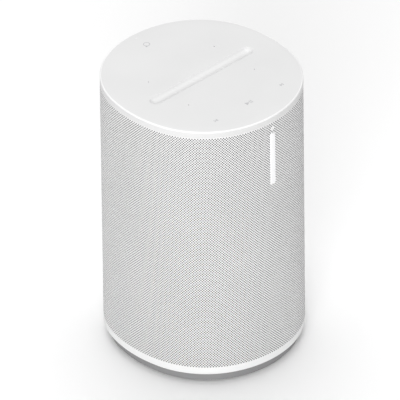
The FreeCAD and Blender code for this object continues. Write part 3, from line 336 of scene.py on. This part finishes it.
def metal(name, colour, rough, stretch=(1, 1, 1), grain=900.0, bump=0.04):
    material, tree, shader, place = startMaterial(name)
    streak = noiseNode(tree, place, grain, 4.0, stretch)
    stain = noiseNode(tree, place, 60.0, 3.0)
    tree.links.new(rampNode(tree, stain, shade(colour, 0.93), shade(colour, 1.04)),
                   shader.inputs["Base Color"])
    tree.links.new(rangeNode(tree, streak, rough - 0.07, rough + 0.09), shader.inputs["Roughness"])
    shader.inputs["Metallic"].default_value = 1.0
    bumpSurface(tree, shader, streak, bump)
    return material


def wovenCloth(name, colour, pitch, rough=0.85):
    # two crossed sets of threads
    material, tree, shader, place = startMaterial(name)
    heights = []
    for direction in ("X", "Z"):
        wave = tree.nodes.new("ShaderNodeTexWave")
        wave.wave_type = "BANDS"
        wave.bands_direction = direction
        wave.inputs["Scale"].default_value = 0.314 / pitch
        wave.inputs["Distortion"].default_value = 0.4
        tree.links.new(place, wave.inputs["Vector"])
        heights.append(wave.outputs["Fac"])
    weave = tree.nodes.new("ShaderNodeMath")
    weave.operation = "MULTIPLY"
    tree.links.new(heights[0], weave.inputs[0])
    tree.links.new(heights[1], weave.inputs[1])
    tree.links.new(rampNode(tree, weave.outputs[0], shade(colour, 0.6), shade(colour, 1.15), 0.1, 0.9),
                   shader.inputs["Base Color"])
    fuzz = noiseNode(tree, place, 1500.0, 2.0)
    tree.links.new(rangeNode(tree, fuzz, rough - 0.08, rough + 0.08), shader.inputs["Roughness"])
    bumpSurface(tree, shader, weave.outputs[0], 0.4, 0.1 * mm)
    return material


white = (0.86, 0.86, 0.86)
# the top's white is the shell's white made darker: painted shade on the flat top face
paintedShadeTopWhite = (0.71, 0.71, 0.71)
shellFinish = mouldedPlastic("shellWhite", white, 0.52)
paintedShadeTopFinish = mouldedPlastic("paintedShadeTopWhite", paintedShadeTopWhite, 0.42, bump=0.03)
# the hole floors stand for the screen cloth behind the holes, made much darker than the cloth: painted shade
# of deep holes
holeFloorScreenAndShade = mouldedPlastic("screenAndPaintedShadeBehindHoles", (0.035, 0.035, 0.037), 0.8)
# grey hole walls: the white plastic darkened to hold the shade inside deep narrow holes, painted shade
holeWallPaintedShade = mouldedPlastic("paintedShadeHoleWalls", (0.35, 0.35, 0.355), 0.7)
badgeFinish = mouldedPlastic("badgeWhite", (0.92, 0.92, 0.93), 0.28, bump=0.02)
# the plinth's dark grey is partly its own colour and partly painted shade from the body overhanging it
plinthPaintedShadeFinish = mouldedPlastic("plinthDarkGreyPaintedShade", (0.27, 0.27, 0.273), 0.55)
footFinish = mouldedPlastic("footSilicone", (0.33, 0.33, 0.34), 0.7, grain=1400.0, bump=0.1)
printFinish = mouldedPlastic("printedMark", (0.5, 0.5, 0.51), 0.5)
lightFinish = mouldedPlastic("lightPipe", (0.84, 0.84, 0.84), 0.25, bump=0.01)
print("shell materials ready")


# Perforated wall
grille = {
    "sectors": 10,
    "columnsPerSector": 22,
    "rowPitch": 0.92 * mm,
    "holeRadius": 0.48 * mm,
    "holeDepth": 0.3 * mm,
    "holeSides": 8,
    "topBand": 5.3 * mm,  # from the top face to the first row of holes
    "lowBand": 6.0 * mm,  # from the lower edge of the shell to the last row
    "badgePlain": 0.55 * mm,  # no holes this near to the badge
    "panelCut": 0.95 * mm,  # the wall is cut away this near to the rear panel
    "panelPlain": 2.5 * mm,  # no holes this near to the rear panel
}
holesRound = grille["sectors"] * grille["columnsPerSector"]
columnPitch = ovalLength / holesRound
fieldTop = topZ - grille["topBand"]
fieldLow = shellLow.z + grille["lowBand"]
rowCount = 2 * round((fieldTop - fieldLow) / grille["rowPitch"] / 2)
rowPitch = (fieldTop - fieldLow) / (rowCount - 1)


def buildHoleCell():
    # one diamond of wall with its blind hole; X runs round the body and Y goes inwards
    sides, radius, depth = grille["holeSides"], grille["holeRadius"], grille["holeDepth"]
    mesh = bmesh.new()
    turns = [2 * math.pi * i / sides for i in range(sides)]
    rim = [mesh.verts.new((radius * math.cos(t), 0, radius * math.sin(t))) for t in turns]
    floor = [mesh.verts.new((v.co.x, depth, v.co.z)) for v in rim]
    half = columnPitch / 2
    tips = [mesh.verts.new(p) for p in ((half, 0, 0), (0, 0, rowPitch), (-half, 0, 0), (0, 0, -rowPitch))]
    for i, tip in enumerate(tips):
        here = i * sides // 4
        mesh.faces.new((tip, rim[here], rim[here - 1]))
        mesh.faces.new((tip, rim[here + 1], rim[here]))
        mesh.faces.new((tip, tips[(i + 1) % 4], rim[here + 1]))
    # the walls take painted shade for the depth of the holes
    for i in range(sides):
        after = (i + 1) % sides
        mesh.faces.new((rim[i], rim[after], floor[after], floor[i])).material_index = 2
    # the floor takes the screen behind the holes, darkened with painted shade
    mesh.faces.new(floor).material_index = 1
    bmesh.ops.triangulate(mesh, faces=mesh.faces[:])
    data = bpy.data.meshes.new("holeCell")
    mesh.to_mesh(data)
    mesh.free()
    data.materials.append(shellFinish)
    data.materials.append(holeFloorScreenAndShade)
    data.materials.append(holeWallPaintedShade)
    cell = bpy.data.objects.new("holeCell", data)
    bpy.context.collection.objects.link(cell)
    return cell


def buildEdgeCell(pointsUp):
    # the half diamond that closes the field against a smooth band
    bpy.ops.mesh.primitive_circle_add(vertices=3, radius=1.0, fill_type="NGON")
    edge = bpy.context.object
    tip = -rowPitch if pointsUp else rowPitch
    half = columnPitch / 2
    left, middle, right = (-half, 0, 0), (0, 0, tip), (half, 0, 0)
    setPoints(edge, np.array([left, middle, right] if pointsUp else [left, right, middle]))
    return edge


def buildSector():
    # one flat sector of the field, its first hole at X 0 and Z fieldLow
    columns = grille["columnsPerSector"]
    cell = buildHoleCell()
    step = {"use_relative_offset": False, "use_constant_offset": True}
    applyModifier(cell, "ARRAY", count=columns, constant_offset_displace=(columnPitch, 0, 0), **step)
    applyModifier(cell, "ARRAY", count=2, constant_offset_displace=(columnPitch / 2, 0, rowPitch), **step)
    applyModifier(cell, "ARRAY", count=rowCount // 2, constant_offset_displace=(0, 0, 2 * rowPitch), **step)
    edges = []
    for pointsUp, shift, z in ((False, 0.5, -rowPitch), (True, 1.0, rowPitch * rowCount)):
        edge = buildEdgeCell(pointsUp)
        setPoints(edge, pointsOf(edge) + np.array([columnPitch * shift, 0, z]))
        applyModifier(edge, "ARRAY", count=columns, constant_offset_displace=(columnPitch, 0, 0), **step)
        edges.append(edge)
    joinPieces(cell, edges)
    setPoints(cell, pointsOf(cell) + np.array([0, 0, fieldLow]))
    mergeDoubles(cell)
    return cell


def cellCentres(points):
    # the centre of the diamond that each flat point lies in
    s = points[:, 0] / (columnPitch / 2)
    t = (points[:, 2] - fieldLow) / rowPitch
    a, b = np.round((s + t) / 2), np.round((s - t) / 2)
    return (a + b) * columnPitch / 2, fieldLow + (a - b) * rowPitch


def outsideRounded(x, z, middleX, middleZ, width, height, corner):
    # distance from a rounded rectangle, negative inside it
    dx = np.abs(x - middleX) - (width / 2 - corner)
    dz = np.abs(z - middleZ) - (height / 2 - corner)
    outer = np.hypot(np.maximum(dx, 0), np.maximum(dz, 0))
    return outer + np.minimum(np.maximum(dx, dz), 0) - corner


def clearHoles(sector, removed, plain):
    # removed and plain give, for hole centres, where the wall is cut away and where it has no holes
    deep = 0.05 * grille["holeDepth"]
    mesh = bmesh.new()
    mesh.from_mesh(sector.data)
    mesh.faces.ensure_lookup_table()
    middles = np.array([f.calc_center_median() for f in mesh.faces])
    x, z = cellCentres(middles)
    gone = removed(x, z)
    closed = plain(x, z) & ~gone
    sunk = middles[:, 1] > deep
    doomed = [f for f, g, c, s in zip(mesh.faces, gone, closed, sunk) if g or (c and s)]
    bmesh.ops.delete(mesh, geom=doomed, context="FACES")
    mesh.verts.ensure_lookup_table()
    points = np.array([v.co for v in mesh.verts])
    x, z = cellCentres(points)
    fromCentre = np.hypot(points[:, 0] - x, points[:, 2] - z)
    onRim = (fromCentre < grille["holeRadius"] * 1.05) & plain(x, z)
    for i in np.nonzero(onRim)[0]:
        mesh.verts[i].co = (x[i], 0, z[i])
    bmesh.ops.remove_doubles(mesh, verts=mesh.verts, dist=0.02 * mm)
    mesh.to_mesh(sector.data)
    mesh.free()


def addBakeMap(sector, start):
    # the wall lies flat in the map, and each hole's sides and floor shrink into their own hole
    points = pointsOf(sector)
    x, z = cellCentres(points)
    sunk = np.clip(points[:, 1] / grille["holeDepth"], 0, 1)
    keep = 1 - 0.45 * sunk
    width, height = columnPitch * (grille["columnsPerSector"] + 2), rowPitch * (rowCount + 4)
    u = (x + (points[:, 0] - x) * keep - start + columnPitch) / width
    v = (z + (points[:, 2] - z) * keep - fieldLow + 2 * rowPitch) / height
    corner = np.empty(len(sector.data.loops), dtype=np.int32)
    sector.data.loops.foreach_get("vertex_index", corner)
    layer = sector.data.uv_layers.new(name="OFBake")
    layer.data.foreach_set("uv", np.stack([u[corner], v[corner]], axis=1).ravel())


panelMiddleZ = (panelLow.z + panelHigh.z) / 2
rearPanel = {"width": 38.0 * mm, "height": 68.0 * mm, "corner": 9.0 * mm, "gap": 0.15 * mm}
badgeLow, badgeHigh = span("badge")
lightLow, lightHigh = span("light_pipes")
statusLight = {"radius": 0.6 * mm}


def panelDistance(x, z):
    gap = 2 * rearPanel["gap"]
    return outsideRounded(x, z, ovalLength / 2, panelMiddleZ, rearPanel["width"] + gap,
                          rearPanel["height"] + gap, rearPanel["corner"] + rearPanel["gap"])


def badgeDistance(x, z):
    width = badgeHigh.x - badgeLow.x
    near = np.where(x > ovalLength / 2, x - ovalLength, x)
    middleZ = (badgeLow.z + badgeHigh.z) / 2
    bar = outsideRounded(near, z, 0, middleZ, width, badgeHigh.z - badgeLow.z, width / 2)
    light = np.hypot(near, z - lightLow.z - statusLight["radius"]) - statusLight["radius"]
    return np.minimum(bar, light)


def nowhere(x, z):
    return np.zeros(x.shape, dtype=bool)


def besideBadge(x, z):
    return badgeDistance(x, z) < grille["badgePlain"]


def underPanel(x, z):
    return panelDistance(x, z) < grille["panelCut"]


def besidePanel(x, z):
    return panelDistance(x, z) < grille["panelPlain"]


def buildGrille():
    template = buildSector()
    sectorWidth = grille["columnsPerSector"] * columnPitch
    sectors = []
    for i in range(grille["sectors"]):
        activate(template)
        bpy.ops.object.duplicate()
        sector = bpy.context.object
        start = (i - 0.5) * sectorWidth
        setPoints(sector, pointsOf(sector) + np.array([start, 0, 0]))
        if i == 0:
            clearHoles(sector, nowhere, besideBadge)
        if abs(i * sectorWidth - ovalLength / 2) < 2 * sectorWidth:
            clearHoles(sector, underPanel, besidePanel)
        addBakeMap(sector, start)
        bendRoundOval(sector)
        finishPiece(sector, f"grille_{i + 1}", "housing", None)
        sectors.append(sector)
    bpy.data.objects.remove(template)
    return sectors


# Smooth bands above and below the holes
bands = {
    "seam": 0.02 * mm,
    "turnIn": 3.0 * mm,
    "lowRound": 1.15 * mm,
    "shoulder": 3.45 * mm,
    "wall": 2.2 * mm,
    "lip": 4.2 * mm,
    "lipHeight": 2.0 * mm,
}


def buildBands():
    topEdge, lowEdge = seamZ - bands["seam"], shellLow.z
    wall = bands["wall"]
    upper = [(0, fieldLow + rowPitch * rowCount), (0, topEdge), (wall, topEdge)]
    upper.append((wall, topEdge - bands["turnIn"]))
    piece = sweepOval(upper, holesRound)
    finishPiece(piece, "upperBand", "housing", shellFinish)
    r = bands["lowRound"]
    lower = [(0, fieldLow - rowPitch), (0, lowEdge + bands["shoulder"])]
    lower += roundCorner((r, lowEdge + r), r, 180, 270, 7)
    lipTop = lowEdge + bands["lipHeight"]
    lower += [(bands["lip"], lowEdge), (bands["lip"], lipTop), (wall, lipTop)]
    piece = sweepOval(lower, holesRound)
    flipIfInward(piece)
    finishPiece(piece, "lowerBand", "housing", shellFinish)


grilleSectors = buildGrille()
buildBands()
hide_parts("shell")
print("perforated wall done,", rowCount, "rows of", holesRound, "holes")


# Touch top
top = {
    "edgeRadius": 0.8 * mm,
    "edgeSteps": 9,
    "rimLap": 3.4 * mm,  # flat underside of the rim
    "fades": 7,  # loops of faces between the edge and the trough
    "troughLength": 86.0 * mm,
    "troughWidth": 8.0 * mm,
    "troughDepth": 1.6 * mm,
    "lipRadius": 0.5 * mm,
    "lipSteps": 6,
    "bowlSteps": 12,
    "micInset": 1.7 * mm,
    "micHole": 0.4 * mm,
    "holeDepth": 0.9 * mm,
    "lightGap": 0.04 * mm,
    "rimWidth": 3.0 * mm,
}


def stadium(share, half, straight):
    # a long rounded outline: share 0 to 1 once round, starting at the middle of the front like the oval
    quarter = straight + math.pi / 2 * half
    run = np.mod(share, 1.0) * 4 * quarter
    x, y = np.zeros(run.shape), np.zeros(run.shape)
    side = np.floor(run / (2 * quarter)).astype(int)
    local = run - side * 2 * quarter
    sign = np.where(side == 0, 1.0, -1.0)
    first, last = local < straight, local > straight + math.pi * half
    mid = ~first & ~last
    x[first], y[first] = local[first], -half
    turn = (local[mid] - straight) / max(half, 1e-9) - math.pi / 2
    x[mid], y[mid] = straight + half * np.cos(turn), half * np.sin(turn)
    x[last], y[last] = straight - (local[last] - straight - math.pi * half), half
    return x * sign, y * sign


def troughRings():
    # (half width, height) from the trough's lip down to its centre line
    half, depth, lip = top["troughWidth"] / 2, top["troughDepth"], top["lipRadius"]
    ball = (half**2 + depth**2) / (2 * depth)
    rings = []
    slope = math.asin(half / ball)
    tangent = lip * math.tan(slope / 2)
    for i in range(top["lipSteps"] + 1):
        turn = slope * i / top["lipSteps"]
        rings.append((half + tangent - lip * math.sin(turn), topZ - lip * (1 - math.cos(turn))))
    for i in range(1, top["bowlSteps"] + 1):
        turn = (slope - tangent / ball) * (1 - i / top["bowlSteps"])
        rings.append((ball * math.sin(turn), topZ + ball - depth - ball * math.cos(turn)))
    return rings


def buildTop():
    r = top["edgeRadius"]
    outer = [(top["rimLap"], seamZ), (0, seamZ), (0, topZ - 2 * r)]
    outer += roundCorner((r, topZ - r), r, 180, 90, top["edgeSteps"])
    fades = top["fades"]
    rings = troughRings()
    rows = len(outer) + fades + len(rings)
    grid = buildGrid(2 * holesRound, rows - 1)
    flat = pointsOf(grid)
    step = np.rint((flat[:, 1] + 1) / 2 * (rows - 1)).astype(int)
    share = (flat[:, 0] + 1) / 2
    straight = top["troughLength"] / 2 - top["troughWidth"] / 2
    points = np.zeros_like(flat)
    for row in range(rows):
        here = step == row
        if row < len(outer):
            x, y = onOval(share[here] * ovalLength, outer[row][0])
            z = outer[row][1]
        elif row < len(outer) + fades:
            mix = (row - len(outer) + 1) / (fades + 1)
            ox, oy = onOval(share[here] * ovalLength, r)
            sx, sy = stadium(share[here], rings[0][0], straight)
            x, y, z = ox + (sx - ox) * mix, oy + (sy - oy) * mix, topZ
        else:
            half, z = rings[row - len(outer) - fades]
            x, y = stadium(share[here], half, straight)
        points[here] = np.stack([x, y, np.full(here.sum(), z)], axis=1)
    setPoints(grid, points)
    mergeDoubles(grid, 0.004 * mm)
    flipIfInward(grid)
    editMode(grid, "EDGE")
    bpy.ops.mesh.select_non_manifold()
    bpy.ops.mesh.edge_face_add()
    bpy.ops.object.mode_set(mode="OBJECT")
    return grid


def finishRim(obj):
    # the rounded edge keeps the shell's full white, while the rest of the top is a darker copy of it, painted
    # shade, so the edge shows as a bright line
    obj.data.materials.append(shellFinish)
    rim = min(halfWidth, halfDepth) - top["rimWidth"]
    for face in obj.data.polygons:
        below = topZ - face.center.z
        if 0.001 * mm < below < top["edgeRadius"] and math.hypot(face.center.x, face.center.y) > rim:
            face.material_index = 1


def drillTop(obj, x, y, radius):
    bpy.ops.mesh.primitive_cylinder_add(vertices=24, radius=radius, depth=2 * top["holeDepth"],
                                        location=(x, y, topZ))
    hole = bpy.context.object
    settle(hole)
    cutWith(obj, hole)


touchTop = buildTop()
micHigh = span("microphones")[1]
micX, micY = micHigh.x - top["micInset"], micHigh.y - top["micInset"]
for x in (-micX, micX):
    for y in (-micY, micY):
        drillTop(touchTop, x, y, top["micHole"])
lightRadius = (lightHigh.x - lightLow.x) / 2
drillTop(touchTop, 0, lightHigh.y - lightRadius, lightRadius + top["lightGap"])
finishPiece(touchTop, "touchTop", "housing", paintedShadeTopFinish, replaced=("cap",))
finishRim(touchTop)
print("touch top done")


# Printed marks on the top
marks = {
    "lift": 0.03 * mm,
    "voice": (0.0, 49.0 * mm, 4.4 * mm),
    "play": (0.0, -42.0 * mm, 5.0 * mm),
    "skip": (28.0 * mm, -42.0 * mm, 3.6 * mm),
    "line": 0.5 * mm,
    "tail": 0.42,  # these are shares of a mark's size
    "arrow": 0.75,
    "bar": 0.62,
}


def flatMark(obj):
    # a printed shape: a thin face just above the top
    settle(obj)
    applyModifier(obj, "SOLIDIFY", thickness=marks["lift"], offset=1.0)
    return obj


def ringMark(x, y, size):
    bpy.ops.mesh.primitive_circle_add(vertices=48, radius=size / 2, fill_type="NGON", location=(x, y, topZ))
    obj = bpy.context.object
    editMode(obj)
    bpy.ops.mesh.select_all(action="SELECT")
    bpy.ops.mesh.inset(thickness=marks["line"])
    bpy.ops.mesh.delete(type="FACE")
    bpy.ops.object.mode_set(mode="OBJECT")
    return obj


def triangleMark(x, y, size, turn):
    bpy.ops.mesh.primitive_circle_add(vertices=3, radius=size / 2, fill_type="NGON", location=(x, y, topZ),
                                      rotation=(0, 0, turn))
    return bpy.context.object


def barMark(x, y, width, length):
    bpy.ops.mesh.primitive_plane_add(size=1.0, location=(x, y, topZ))
    obj = bpy.context.object
    obj.scale = (width, length, 1)
    return obj


def buildMarks():
    shapes = {}
    x, y, size = marks["voice"]
    tail = size * marks["tail"]
    corner = flatMark(triangleMark(x - tail, y - tail, tail, math.radians(15)))
    shapes["voiceMark"] = [flatMark(ringMark(x, y, size)), corner]
    x, y, size = marks["play"]
    shapes["playMark"] = [flatMark(triangleMark(x - size * 0.3, y, size * marks["arrow"], math.radians(-90)))]
    for shift in (0.22, 0.46):
        bar = barMark(x + size * shift, y, marks["line"], size * marks["bar"])
        shapes["playMark"].append(flatMark(bar))
    x, y, size = marks["skip"]
    for name, side in (("nextMark", 1), ("backMark", -1)):
        arrow = triangleMark(side * (x - size * 0.15), y, size * marks["arrow"], math.radians(-90 * side))
        bar = barMark(side * (x + size * 0.3), y, marks["line"], size * marks["bar"])
        shapes[name] = [flatMark(arrow), flatMark(bar)]
    for name, group in shapes.items():
        joinPieces(group[0], group[1:])
        finishPiece(group[0], name, "housing", printFinish)


buildMarks()
print("printed marks done")


# Badge: a plain bar with soft edges
badge = {"edge": 0.35 * mm, "edgeSteps": 5, "roundSteps": 48, "frontSlack": 0.01 * mm}


def buildBadge():
    low, high = badgeLow, badgeHigh
    width, length = high.x - low.x, high.z - low.z
    bpy.ops.mesh.primitive_circle_add(vertices=badge["roundSteps"], radius=width / 2, fill_type="NGON",
                                      location=(0, high.y, 0), rotation=(math.radians(90), 0, 0))
    bar = bpy.context.object
    settle(bar)
    points = pointsOf(bar)
    ends = np.where(np.abs(points[:, 2]) > 1e-6, np.sign(points[:, 2]), 0.0)
    points[:, 2] += ends * (length - width) / 2 + (low.z + high.z) / 2
    setPoints(bar, points)
    editMode(bar)
    bpy.ops.mesh.select_all(action="SELECT")
    bpy.ops.mesh.extrude_region_move(TRANSFORM_OT_translate={"value": (0, low.y - high.y, 0)})
    bpy.ops.object.mode_set(mode="OBJECT")
    faceOutwards(bar)
    mesh = editMode(bar, "EDGE")
    front = low.y + badge["frontSlack"]
    pick(bar, mesh.edges, lambda e: all(v.co.y < front for v in e.verts))
    bpy.ops.mesh.bevel(offset=badge["edge"], segments=badge["edgeSteps"], affect="EDGES")
    bpy.ops.object.mode_set(mode="OBJECT")
    finishPiece(bar, "frontBadge", "housing", badgeFinish, replaced=("badge",))


buildBadge()


# Smooth margin round the rear panel
margin = {
    "reach": 2.2 * mm,  # how far it goes out from the panel
    "lap": 0.1 * mm,
    "proud": 0.12 * mm,
    "edge": 0.12 * mm,
    "depth": 2.2 * mm,
    "cornerSteps": 12,
    "longest": 1.5 * mm,  # longest face along the straights
}


def roundedLoop(width, height, corner, steps):
    # points of an upright rounded rectangle about (0, 0)
    loop = []
    for cx, cz, start in ((1, 1, 0), (-1, 1, 90), (-1, -1, 180), (1, -1, 270)):
        mx, mz = cx * (width / 2 - corner), cz * (height / 2 - corner)
        for i in range(steps + 1):
            turn = math.radians(start + 90 * i / steps)
            loop.append((mx + corner * math.cos(turn), mz + corner * math.sin(turn)))
    return loop


def divideLoop(loop, longest):
    # more points along the straights, so that the frame follows the curved wall
    out = []
    for (ax, az), (bx, bz) in zip(loop, loop[1:] + loop[:1]):
        parts = max(1, math.ceil(math.hypot(bx - ax, bz - az) / longest))
        out += [(ax + (bx - ax) * i / parts, az + (bz - az) * i / parts) for i in range(parts)]
    return out


def movedOutwards(base, out, width, height, corner):
    # the same loop moved outwards square to itself
    moved = []
    for x, z in base:
        mx = max(-width / 2 + corner, min(width / 2 - corner, x))
        mz = max(-height / 2 + corner, min(height / 2 - corner, z))
        dx, dz = x - mx, z - mz
        length = math.hypot(dx, dz)
        moved.append((x + dx / length * out, z + dz / length * out))
    return moved


def buildPanelFrame():
    inner = rearPanel["gap"]
    outer = inner + margin["reach"]
    width, height, corner = rearPanel["width"], rearPanel["height"], rearPanel["corner"]
    edge, proud = margin["edge"], margin["proud"]
    profile = [(inner, margin["depth"]), (inner, 2 * edge), (inner + edge, -proud / 2),
               (inner + 2 * edge, -proud), (outer - 2 * edge, -proud), (outer - edge / 2, -proud / 2),
               (outer, margin["lap"])]
    base = divideLoop(roundedLoop(width, height, corner, margin["cornerSteps"]), margin["longest"])
    grid = buildGrid(len(base), len(profile) - 1)
    flat = pointsOf(grid)
    step = np.rint((flat[:, 1] + 1) / 2 * (len(profile) - 1)).astype(int)
    turn = np.rint((flat[:, 0] + 1) / 2 * len(base)).astype(int) % len(base)
    points = np.zeros_like(flat)
    for row, (out, inward) in enumerate(profile):
        loop = np.array(movedOutwards(base, out, width, height, corner))
        here = step == row
        points[here] = np.stack([ovalLength / 2 + loop[turn[here], 0], np.full(here.sum(), inward),
                                 panelMiddleZ + loop[turn[here], 1]], axis=1)
    setPoints(grid, points)
    mergeDoubles(grid, 0.002 * mm)
    bendRoundOval(grid)
    normals = np.array([p.normal[1] * p.area for p in grid.data.polygons if abs(p.normal[1]) > 0.7])
    if normals.sum() < 0:
        flipFaces(grid)
    finishPiece(grid, "panelFrame", "housing", shellFinish)


buildPanelFrame()
print("badge and panel frame done")


# Finishes of the frame's own pieces
blackMoulded = mouldedPlastic("blackMoulded", (0.045, 0.045, 0.048), 0.5, grain=1800.0, bump=0.12)
finishes = {
    "grey_base": plinthPaintedShadeFinish,
    "foot_rubber": footFinish,
    "screen_cloth": wovenCloth("screenCloth", (0.35, 0.35, 0.36), 0.5 * mm),
    "white_panel": mouldedPlastic("panelWhite", (0.83, 0.83, 0.84), 0.5, bump=0.12),
    "white_button": mouldedPlastic("buttonWhite", (0.86, 0.86, 0.87), 0.35, bump=0.03),
    "grey_knob": mouldedPlastic("knobGrey", (0.5, 0.5, 0.51), 0.5),
    "black_plastic": mouldedPlastic("socketBlack", (0.03, 0.03, 0.032), 0.45, bump=0.1),
    "plated_pin": metal("pinNickel", (0.8, 0.78, 0.74), 0.22),
    "stamped_steel": metal("stampedSteel", (0.62, 0.62, 0.63), 0.3, (1, 12, 1)),
    "light_pipe": lightFinish,
    "led": mouldedPlastic("ledPackage", (0.85, 0.82, 0.6), 0.35),
    "touch_film": mouldedPlastic("touchFilm", (0.6, 0.42, 0.16), 0.3),
    "board_green": mouldedPlastic("solderMask", (0.02, 0.14, 0.07), 0.32, grain=700.0, bump=0.1, spread=0.12),
    "part_black": mouldedPlastic("partBlack", (0.03, 0.03, 0.034), 0.42),
    "foam_rubber": mouldedPlastic("foamRubber", (0.04, 0.04, 0.043), 0.85, grain=900.0, bump=0.5, spread=0.1),
    "box_plastic": blackMoulded,
    "guide_plastic": mouldedPlastic("guideBlack", (0.03, 0.03, 0.033), 0.38, bump=0.06),
    "basket_steel": metal("basketCoat", (0.06, 0.06, 0.065), 0.5),
    "ferrite": mouldedPlastic("ferrite", (0.07, 0.07, 0.075), 0.6, grain=500.0, bump=0.4, spread=0.15),
    "plated_steel": metal("zincPlate", (0.62, 0.63, 0.66), 0.34, (6, 1, 1)),
    "cone_paper": mouldedPlastic("conePaper", (0.05, 0.05, 0.053), 0.9, grain=350.0, bump=0.6, spread=0.18),
    "copper": metal("copperWinding", (0.72, 0.36, 0.2), 0.3, (1, 30, 1)),
    "spider_cloth": wovenCloth("spiderCloth", (0.6, 0.42, 0.16), 0.6 * mm),
    "dome_silk": wovenCloth("domeSilk", (0.06, 0.06, 0.065), 0.25 * mm, 0.7),
    "heat_sink_alloy": metal("heatSinkAlloy", (0.74, 0.75, 0.77), 0.3, (1, 1, 14)),
    "ribbon_film": mouldedPlastic("ribbonFilm", (0.62, 0.32, 0.07), 0.3),
    "lead_black": mouldedPlastic("leadJacket", (0.03, 0.03, 0.03), 0.5),
    "screw_steel": metal("screwZinc", (0.5, 0.51, 0.53), 0.32),
    "badge_white": badgeFinish,
    "white_grille": shellFinish,
    "white_top": paintedShadeTopFinish,
}
slotOf = {part["node"]: part["material_slot"] for part in frame["record"]["subparts"]}
for name, node in frame["nodes"].items():
    node.data.materials.clear()
    node.data.materials.append(finishes[slotOf[name]])
print("finishes set on", len(frame["nodes"]), "pieces of the frame")


# Floor, light and camera
studio = {
    "floorColour": (0.97, 0.97, 0.97),
    "floorSide": 12.0,
    "worldColour": (1.0, 1.0, 1.0),
    "worldStrength": 0.38,
    "frontLight": {"azimuth": -50, "elevation": 24, "distance": 2.2, "size": 1.0, "power": 26.5},
    "topLight": {"azimuth": 140, "elevation": 75, "distance": 1.8, "size": 1.7, "power": 20.5},
}


def buildFloor():
    bpy.ops.mesh.primitive_plane_add(size=studio["floorSide"], location=(0, 0, 0))
    floor = bpy.context.object
    floor.name = "floor"
    material, tree, shader, place = startMaterial("paleFloor")
    drift = noiseNode(tree, place, 3.0)
    pale, paler = shade(studio["floorColour"], 0.995), shade(studio["floorColour"], 1.005)
    tree.links.new(rampNode(tree, drift, pale, paler), shader.inputs["Base Color"])
    shader.inputs["Roughness"].default_value = 0.9
    shader.inputs["Specular IOR Level"].default_value = 0.1
    floor.data.materials.append(material)


def viewBack(azimuth, elevation):
    a, e = math.radians(azimuth), math.radians(elevation)
    return Vector((math.sin(a) * math.cos(e), -math.cos(a) * math.cos(e), math.sin(e)))


def addSoftLight(name, target):
    setting = studio[name]
    place = viewBack(setting["azimuth"], setting["elevation"]) * setting["distance"]
    bpy.ops.object.light_add(type="AREA", location=place)
    light = bpy.context.object
    light.name = name
    light.data.shape = "DISK"
    light.data.size = setting["size"]
    light.data.energy = setting["power"]
    light.rotation_mode = "QUATERNION"
    light.rotation_quaternion = (target - place).to_track_quat("-Z", "Y")


def buildLight():
    world = bpy.data.worlds.new("studio")
    bpy.context.scene.world = world
    world.use_nodes = True
    sky = world.node_tree.nodes["Background"]
    sky.inputs["Color"].default_value = studio["worldColour"] + (1.0,)
    sky.inputs["Strength"].default_value = studio["worldStrength"]
    for name in ("frontLight", "topLight"):
        addSoftLight(name, Vector((0, 0, topZ / 2)))
    bpy.context.scene.view_settings.view_transform = "Standard"


camera = {
    "azimuth": -43.5,
    "elevation": 34.3,
    "roll": -0.69,
    "distance": 10.0,
    "viewWidth": 248.139 * mm,
    "sensor": 36.0,
    "lookBelowTop": 91.25 * mm,
    "offset": (1.8176 * mm, 1.4268 * mm),  # how far right of and above the middle the look point sits
}


def buildCamera():
    back = viewBack(camera["azimuth"], camera["elevation"])
    turn = back.to_track_quat("Z", "Y")
    roll = Matrix.Rotation(math.radians(camera["roll"]), 3, "Z").to_quaternion()
    facing = turn @ roll
    right, up = facing @ Vector((1, 0, 0)), facing @ Vector((0, 1, 0))
    look = Vector((0, 0, topZ - camera["lookBelowTop"]))
    look -= right * camera["offset"][0] + up * camera["offset"][1]
    bpy.ops.object.camera_add(location=look + back * camera["distance"])
    cam = bpy.context.object
    cam.rotation_mode = "QUATERNION"
    cam.rotation_quaternion = facing
    cam.data.sensor_width = camera["sensor"]
    cam.data.lens = camera["sensor"] * camera["distance"] / camera["viewWidth"]
    cam.data.clip_end = 100.0
    bpy.context.scene.camera = cam


buildFloor()
buildLight()
buildCamera()
print("studio done")
